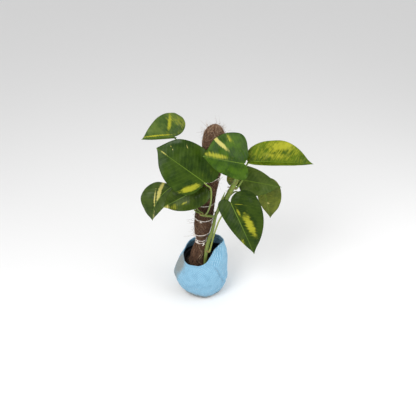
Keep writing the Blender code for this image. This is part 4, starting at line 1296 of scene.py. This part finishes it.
def half_outline(length, width, lobe, belly, full):
    """Margin of half a heart-shaped blade, from the notch round the lobe to the tip."""
    widest = belly * length
    shoulder = (belly + (1 - belly) * (0.45 + 0.3 * full)) * length
    neck = ((0.84 + 0.12 * full) * length, (0.10 + 0.35 * full) * width)
    back = bezier((-NOTCH, 0), (-lobe, 0.05 * width), (-1.15 * lobe, width), (widest, width), LOBE_STEPS)
    front = bezier((widest, width), (shoulder, width), neck, (length, 0), TIP_STEPS)
    return np.vstack([back, front[1:]])


def leaf_frame(spec):
    """Seat, length, direction of the midrib, upward normal and left side of a blade."""
    seat = np.array(spec["seat"])
    chord = np.array(spec["tip"]) - seat
    length = np.linalg.norm(chord)
    along = chord / length
    face = np.array(spec["face"])
    normal = unit(face - along * (face @ along))
    return seat, length, along, normal, np.cross(normal, along)


def leaf_point(spec, x, y, lift_more=0.0):
    """Carry points of the flat outline onto the arched, folded and cupped blade."""
    seat, length, along, normal, left = leaf_frame(spec)
    share = x / length
    rise = 4 * spec["arch"] * np.where(share > 0, share * (1 - share), share)
    slope = 4 * spec["arch"] / length * np.where(share > 0, 1 - 2 * share, 1.0)
    level = 1 / np.sqrt(1 + slope ** 2)
    fold = np.where(y > 0, tan(radians(spec["left"][4])), tan(radians(spec["right"][4])))
    spread = y / np.sqrt(1 + fold ** 2)
    lift = (np.sqrt(y ** 2 + KEEL ** 2) - KEEL) * fold / np.sqrt(1 + fold ** 2)
    half_width = max(spec["left"][0], spec["right"][0])
    lift = lift - spec["cup"] * (y / half_width) ** 2 + lift_more
    forward = x - lift * slope * level
    height = rise + lift * level
    return (seat + np.multiply.outer(forward, along) + np.multiply.outer(height, normal)
            + np.multiply.outer(spread, left))


def patch_mark(patches, kind, vein, reach, side):
    """Strength of one kind of variegation at each point of a blade."""
    total = np.zeros_like(vein)
    for sort, half, at_vein, at_reach, wide, deep, slant, strength in patches:
        if sort == kind:
            off = (vein - at_vein - slant * (reach - at_reach)) / wide
            out = (reach - at_reach) / deep
            same = np.where(side * half > 0, 1.0, near(reach, 0.0, PATCH_CROSSING))
            total = np.maximum(total, strength * same * np.exp(-np.abs(off) ** 2.1 - np.abs(out) ** 2.1))
    return total


def blade_grid(spec, look):
    """Places along and across the flat blade in rings up to the margin, and each ring's share."""
    long = leaf_frame(spec)[1]
    left = half_outline(long, *spec["left"][:4])
    right = half_outline(long, *spec["right"][:4]) * [1, -1]
    margin = np.vstack([left, right[::-1][1:-1]])
    drip = np.clip((margin[:, 0] / long - TIP_FROM) / (1 - TIP_FROM), 0, 1)
    margin[:, 1] *= 1 - look.tip * drip ** 2
    shares = np.linspace(0, 1, look.rings + 1)[1:] ** 0.9
    return np.outer(shares, margin[:, 0]), np.outer(shares, margin[:, 1]), shares[:, None]


def vein_place(x, reach):
    """Where along the midrib the side vein through each place starts."""
    return x - VEIN_SLANT * reach - VEIN_CURL * reach ** 2


def blade_waves(look, seed, x, y, out, long):
    """How far the whole blade bends up and down: waves along its margin and broad unevenness."""
    bearing = np.arctan2(y, x + 0.25 * long)
    waves = look.wave * out ** 3 * (np.sin(9 * bearing + 1.7 * seed) + 0.6 * np.sin(17 * bearing + seed))
    spots = np.stack([x, y, np.zeros_like(x)], -1).reshape(-1, 3)
    swell = look.swell * uneven(spots, 34.0, seed, 2).reshape(x.shape)
    return waves + swell * np.clip(np.abs(y) / 0.012, 0, 1)


def blade_points(spec, look, seed, x, y, out):
    """Points of the upper side and the underside, each with its middle, and the way up at the seat."""
    _, long, _, normal, _ = leaf_frame(spec)
    reach = np.abs(y)
    edge = 1 - out ** 8
    ripples = np.cos(2 * pi * vein_place(x, reach) / look.vein_gap + 0.9 * np.sin(150 * reach + seed))
    ripples = look.vein_relief * ripples * np.clip(reach / 0.006, 0, 1) * edge
    groove = -GROOVE_DEPTH * near(y, 0.0, GROOVE_WIDTH)
    rib = RIB_HEIGHT * near(y, 0.0, RIB_WIDTH) * np.clip(1 - x / long, 0, 1)
    half = look.thickness / 2 * (0.35 + 0.65 * edge)
    middle = leaf_point(spec, x, y, blade_waves(look, seed, x, y, out, long))
    around = np.roll(middle, -1, 1) - np.roll(middle, 1, 1)
    normals = unit(np.cross(np.gradient(middle, axis=0), around))
    normals = normals * np.sign((normals @ normal).mean())
    top = middle + normals * (half + ripples + groove)[..., None]
    bottom = middle - normals * (half - ripples + rib)[..., None]
    seat = leaf_point(spec, np.zeros(1), np.zeros(1))[0]
    deep = normal * look.thickness / 2
    points = np.vstack([top.reshape(-1, 3), seat + deep, bottom.reshape(-1, 3), seat - deep])
    return points, normals[0, 0]


def blade_faces(rows, columns):
    """Faces of the upper side, the underside and the edge between them."""
    size = rows * columns + 1
    last = (rows - 1) * columns
    upper = grid_faces(rows, columns) + fan(size - 1, 0, columns, under=True)
    lower = [tuple(i + size for i in face[::-1]) for face in upper]
    edge = [(size + last + c, size + last + (c + 1) % columns, last + (c + 1) % columns, last + c)
            for c in range(columns)]
    return upper + lower + edge


def blade_marks(name, x, y):
    """Marks that the finish reads: vein, distance from the midrib, patches, midrib and underside."""
    reach = np.abs(y)
    vein = vein_place(x, reach)
    patches = BLADE_PAINT[name]["patches"]
    flat = {
        "vein": (vein, 0.0),
        "reach": (reach, 0.0),
        "gold": (patch_mark(patches, "gold", vein, reach, np.sign(y)), 0.0),
        "cream": (patch_mark(patches, "cream", vein, reach, np.sign(y)), 0.0),
        "rib": (0.9 * np.clip(1.2 - x / leaf_frame(LEAVES[name])[1], 0, 1), 0.9),
    }
    marks = {mark: np.tile(np.append(values.ravel(), at_seat), 2)
             for mark, (values, at_seat) in flat.items()}
    marks["under"] = np.repeat([0.0, 1.0], x.size + 1)
    return marks


def make_blade(name, look, seed):
    """One blade: veined and waved upper side, ribbed underside and a thin margin."""
    x, y, out = blade_grid(LEAVES[name], look)
    points, upwards = blade_points(LEAVES[name], look, seed, x, y, out)
    faces = blade_faces(*x.shape)
    corner, second, third = points[list(faces[0][:3])]
    if np.cross(second - corner, third - corner) @ upwards < 0:
        faces = [face[::-1] for face in faces]
    shape = Shape()
    shape.add(points, faces, **blade_marks(name, x, y))
    material = blade_finish(name + "_finish", look, BLADE_PAINT[name], seed)
    settle(shape.piece(name + "_blade", material), "leaf", name)


# ---------------------------------------------------------------- stems
VINE_JOINTS = {0.40, 0.52, 0.64}   # joints of the vine that carry no petiole
JOINT_SWELL = 0.14
AIR_ROOTS = 3                # at each joint
AIR_ROOT_STEPS = 8


def stem_start(stem, along, away):
    """Where a shoot leaves a stem, and the direction in which it sets off."""
    away = np.array(away, float)
    if stem == "pole":
        angle = atan2(away[1], away[0])
        reach = float(sleeve_radius(along, angle))
        start = np.array((pole_x(along) + reach * cos(angle), reach * sin(angle), along))
        return start, np.array((cos(angle), sin(angle), 0.0))
    points, radii = {"vine": (VINE_ROUTE, VINE_RADII), "shoot": (SHOOT_ROUTE, SHOOT_RADII)}[stem]
    route, thickness = smooth_route(points, radii, 0.004)
    place = along * (len(route) - 1)
    k = min(int(place), len(route) - 2)
    part = place - k
    point = route[k] * (1 - part) + route[k + 1] * part
    run = unit(route[k + 1] - route[k])
    out = unit(away - run * (away @ run))
    radius = thickness[k] * (1 - part) + thickness[k + 1] * part
    return point + out * radius, out


def petiole_route(name):
    """Smooth route and radii of a petiole, from inside its stem to the seat of its blade."""
    spec = PETIOLES[name]
    foot, tip = spec["radius"]
    start, out = stem_start(spec["stem"], spec["along"], spec["away"])
    seat, long, along, normal, _ = leaf_frame(LEAVES[spec["leaf"]])
    slope = 4 * LEAVES[spec["leaf"]]["arch"] / long
    up = unit(normal - slope * along)
    end = seat - up * 0.0002
    points = [start - out * 0.0012, start + out * 1.5 * foot] + [np.array(p) for p in spec["via"]]
    points += [end - up * 2.5 * tip, end]
    values = np.linspace(foot, tip, len(points))
    return smooth_route(points, values, 0.0016)


def grooved(turn, share):
    """Section of a petiole: round, with a shallow channel along one side."""
    return 1.0 - 0.20 * near(turn, pi / 2, 0.55) + 0 * share


def ridged(turn, share):
    """Section of the vine: faintly ribbed along its length."""
    return 1.0 + 0.035 * np.cos(5 * turn + 2 * share) + 0.02 * np.cos(9 * turn)


def make_petiole(name, look, material):
    """A petiole that swells at its foot, where its dried sheath clasps the stem, and at its blade."""
    route, radii = petiole_route(name)
    share = np.linspace(0, 1, len(route))
    radii = radii * (1 + 0.45 * near(share, 0.0, 0.05) + 0.22 * near(share, 1.0, 0.04))
    shape = Shape()
    long = np.linalg.norm(np.diff(route, axis=0), axis=1).sum()
    add_tube(shape, route, radii, look.sides, grooved, run=share * long * 60,
             age=0.6 * np.exp(-share / 0.25), sheath=0.9 * near(share, 0.0, 0.045))
    settle(shape.piece(name + "_stalk", material), "stem", name)


def node_rings(route, places):
    """Swelling of a stem at the joints where its leaves and roots leave it."""
    share = np.linspace(0, 1, len(route))
    return 1 + sum(JOINT_SWELL * near(share, place, 0.012) for place in places)


def joints_of(stem):
    """How far along a stem each of its petioles leaves it."""
    return [spec["along"] for spec in PETIOLES.values() if spec["stem"] == stem]


def make_vine(look, material):
    """The climbing stem with its joints, ribbed and striped, and short air roots at the joints."""
    rng = np.random.default_rng(11)
    route, radii = smooth_route(VINE_ROUTE, VINE_RADII, 0.0014)
    places = sorted({*joints_of("vine")} | VINE_JOINTS)
    share = np.linspace(0, 1, len(route))
    shape = Shape()
    cap = np.sqrt(np.clip((1.0 - share) / 0.012, 0.05, 1.0))
    rings = sum(near(share, place, 0.006) for place in places)
    add_tube(shape, route, radii * node_rings(route, places) * cap, look.sides + 8, ridged,
             run=share * 20, age=np.clip(0.75 - 0.9 * share, 0, 1), sheath=np.clip(0.42 * rings, 0, 0.6))
    for place in places[:-1]:
        k = int(place * (len(route) - 1))
        towards = unit(np.array((pole_x(route[k][2]), 0.0, route[k][2])) - route[k])
        for _ in range(AIR_ROOTS):
            bend = rng.normal(0, 0.35, 3)
            t = np.linspace(0, 1, AIR_ROOT_STEPS)[:, None]
            start = route[k] + towards * radii[k] * 0.8
            root = start + rng.uniform(0.004, 0.008) * (towards * t + bend * t ** 2)
            add_tube(shape, root, np.linspace(0.0008, 0.0002, AIR_ROOT_STEPS), 6,
                     run=0.0, age=1.0, sheath=0.8)
    settle(shape.piece("vine_climbing_stem", material), "stem", "vine_stem")


def make_shoot(look, material):
    """The side shoot across the front of the pole, bulging at its joints."""
    route, radii = smooth_route(SHOOT_ROUTE, SHOOT_RADII, 0.0010)
    share = np.linspace(0, 1, len(route))
    ends = np.sqrt(np.clip(np.minimum(share, 1 - share) / 0.05, 0.08, 1.0))
    shape = Shape()
    add_tube(shape, route, radii * ends * node_rings(route, joints_of("shoot")), look.sides, ridged,
             run=share * 4, age=0.35, sheath=0.0)
    settle(shape.piece("side_shoot_stem", material), "stem", "side_shoot")


def rolled(turn, share):
    """Section of the rolled leaf: a spiral whose outer edge overlaps."""
    return 0.80 + 0.22 * ((turn + 2.5 * share) % (2 * pi)) / (2 * pi)


def make_spear(material):
    """The young leaf, still rolled to a point."""
    start, out = stem_start(**SPEAR_FOOT)
    way = np.array(SPEAR_TIP) - start
    points = [start, start + out * 0.004, start + way * 0.4 + out * 0.003, start + way * 0.7,
              np.array(SPEAR_TIP)]
    values = [0.0018, 0.0022, SPEAR_RADIUS, 0.7 * SPEAR_RADIUS, 0.0005]
    route, radii = smooth_route(points, values, 0.0010)
    share = np.linspace(0, 1, len(route))
    shape = Shape()
    add_tube(shape, route, radii, 36, rolled, run=share * 5, age=0.15 + 0.2 * share,
             sheath=0.7 * near(share, 0.0, 0.10))
    settle(shape.piece("leaf_spear_rolled", material), "leaf", "leaf_spear")


# ---------------------------------------------------------------- operators
class POTHOS_OT_wrapper(bpy.types.Operator):
    """Build the woven wrapper and the film that lines it"""
    bl_idname = "pothos.wrapper"
    bl_label = "Wrapper and Lining"

    def execute(self, context):
        make_liner(*make_wrapper())
        return {"FINISHED"}


class POTHOS_OT_pot(bpy.types.Operator):
    """Build the soil and finish the nursery pot"""
    bl_idname = "pothos.pot"
    bl_label = "Pot and Soil"

    def execute(self, context):
        dress("nursery_pot", pot_finish(context.scene.pothos_ground))
        make_soil()
        return {"FINISHED"}


class POTHOS_OT_pole(bpy.types.Operator):
    """Build the coir pole and finish its stake"""
    bl_idname = "pothos.pole"
    bl_label = "Coir Pole"

    def execute(self, context):
        look = context.scene.pothos_pole
        dress("pole_stake", wood_finish(look))
        make_coir(look)
        return {"FINISHED"}


class POTHOS_OT_ties(bpy.types.Operator):
    """Build the string ties"""
    bl_idname = "pothos.ties"
    bl_label = "String Ties"

    def execute(self, context):
        look = context.scene.pothos_string
        material = string_finish(look)
        rng = np.random.default_rng(31)
        for name in TIES:
            make_tie(name, look, material, rng)
        return {"FINISHED"}


class POTHOS_OT_stems(bpy.types.Operator):
    """Build the vine, its side shoot, the petioles and the rolled leaf"""
    bl_idname = "pothos.stems"
    bl_label = "Stems"

    def execute(self, context):
        look = context.scene.pothos_stems
        plain = stem_finish("stem_green", look, 0.2)
        striped = stem_finish("stem_striped", look, 1.0)
        make_vine(look, plain)
        make_shoot(look, plain)
        make_spear(plain)
        for name in PETIOLES:
            make_petiole(name, look, striped if name == "petiole_lower_right" else plain)
        return {"FINISHED"}


class POTHOS_OT_blades(bpy.types.Operator):
    """Build the leaf blades"""
    bl_idname = "pothos.blades"
    bl_label = "Leaf Blades"

    def execute(self, context):
        for seed, name in enumerate(LEAVES, 1):
            make_blade(name, context.scene.pothos_blades, seed)
        return {"FINISHED"}


FLOOR_SIDE = 25.0            # half of it
FLOOR_DROP = 0.0002          # of the floor under the base
LIGHT_AIM = (0.03, 0.0, 0.24)
CAMERA_PLACE = (0.016, -1.0649, 0.9957)
CAMERA_TILT = radians(55)
SENSOR_WIDTH = 36.0


def add_light(name, place, size, strength):
    """A soft square light aimed at the middle of the plant."""
    data = bpy.data.lights.new(name, "AREA")
    data.shape = "SQUARE"
    data.size = size
    data.energy = strength
    lamp = bpy.data.objects.new(name, data)
    lamp.location = place
    lamp.rotation_euler = (Vector(LIGHT_AIM) - Vector(place)).to_track_quat("-Z", "Y").to_euler()
    bpy.context.scene.collection.objects.link(lamp)


class POTHOS_OT_stage(bpy.types.Operator):
    """Set the floor, the lights and the camera"""
    bl_idname = "pothos.stage"
    bl_label = "Floor, Lights and Camera"

    def execute(self, context):
        look = context.scene.pothos_stage
        finish = Finish("floor_pale")
        finish.set(base_color=tuple(look.floor), roughness=0.9)
        shape = Shape()
        corners = [(-1, -1, 0), (1, -1, 0), (1, 1, 0), (-1, 1, 0)]
        shape.add(FLOOR_SIDE * np.array(corners), [(0, 1, 2, 3)])
        floor = shape.piece("floor", finish.material, smooth=False)
        floor.location.z = -FLOOR_DROP
        world = bpy.data.worlds.new("soft_room")
        world.use_nodes = True
        sky = world.node_tree.nodes["Background"]
        sky.inputs["Color"].default_value = (1.0, 1.0, 1.0, 1.0)
        sky.inputs["Strength"].default_value = look.sky
        context.scene.world = world
        context.scene.view_settings.view_transform = "Standard"
        add_light("key", (-0.55, -0.75, 1.25), 0.7, look.key)
        add_light("fill", (0.95, -0.35, 0.75), 0.9, look.fill)
        data = bpy.data.cameras.new("camera")
        data.lens = look.lens
        data.sensor_width = SENSOR_WIDTH
        camera = bpy.data.objects.new("camera", data)
        camera.location = CAMERA_PLACE
        camera.rotation_euler = (CAMERA_TILT, 0.0, 0.0)
        context.scene.collection.objects.link(camera)
        context.scene.camera = camera
        return {"FINISHED"}


STEPS = (POTHOS_OT_stage, POTHOS_OT_wrapper, POTHOS_OT_pot, POTHOS_OT_pole, POTHOS_OT_ties,
         POTHOS_OT_stems, POTHOS_OT_blades)


class POTHOS_PT_panel(bpy.types.Panel):
    """Lists the steps in the order they run"""
    bl_idname = "POTHOS_PT_panel"
    bl_label = "Pothos in a Wrapper"
    bl_space_type = "VIEW_3D"
    bl_region_type = "UI"
    bl_category = "Pothos"

    def draw(self, context):
        for step in STEPS:
            self.layout.operator(step.bl_idname)
        for setting in SETTINGS:
            box = self.layout.box()
            group = getattr(context.scene, setting)
            for name in group.bl_rna.properties.keys():
                if name not in ("rna_type", "name"):
                    box.prop(group, name)


SETTINGS = {
    "pothos_blades": PothosBlades,
    "pothos_stems": PothosStems,
    "pothos_pole": PothosPole,
    "pothos_string": PothosString,
    "pothos_wrapper": PothosWrapper,
    "pothos_ground": PothosGround,
    "pothos_stage": PothosStage,
}


def register():
    """Register the settings, the steps and the panel."""
    for setting, group in SETTINGS.items():
        bpy.utils.register_class(group)
        setattr(bpy.types.Scene, setting, PointerProperty(type=group))
    for step in STEPS:
        bpy.utils.register_class(step)
    bpy.utils.register_class(POTHOS_PT_panel)


def unregister():
    """Take the panel, the steps and the settings out again."""
    bpy.utils.unregister_class(POTHOS_PT_panel)
    for step in reversed(STEPS):
        bpy.utils.unregister_class(step)
    for setting, group in SETTINGS.items():
        delattr(bpy.types.Scene, setting)
        bpy.utils.unregister_class(group)


def main():
    """Build every piece around the frame."""
    register()
    bpy.ops.pothos.stage()
    bpy.ops.pothos.wrapper()
    bpy.ops.pothos.pot()
    bpy.ops.pothos.pole()
    bpy.ops.pothos.ties()
    bpy.ops.pothos.stems()
    bpy.ops.pothos.blades()


if __name__ == "__main__":
    main()
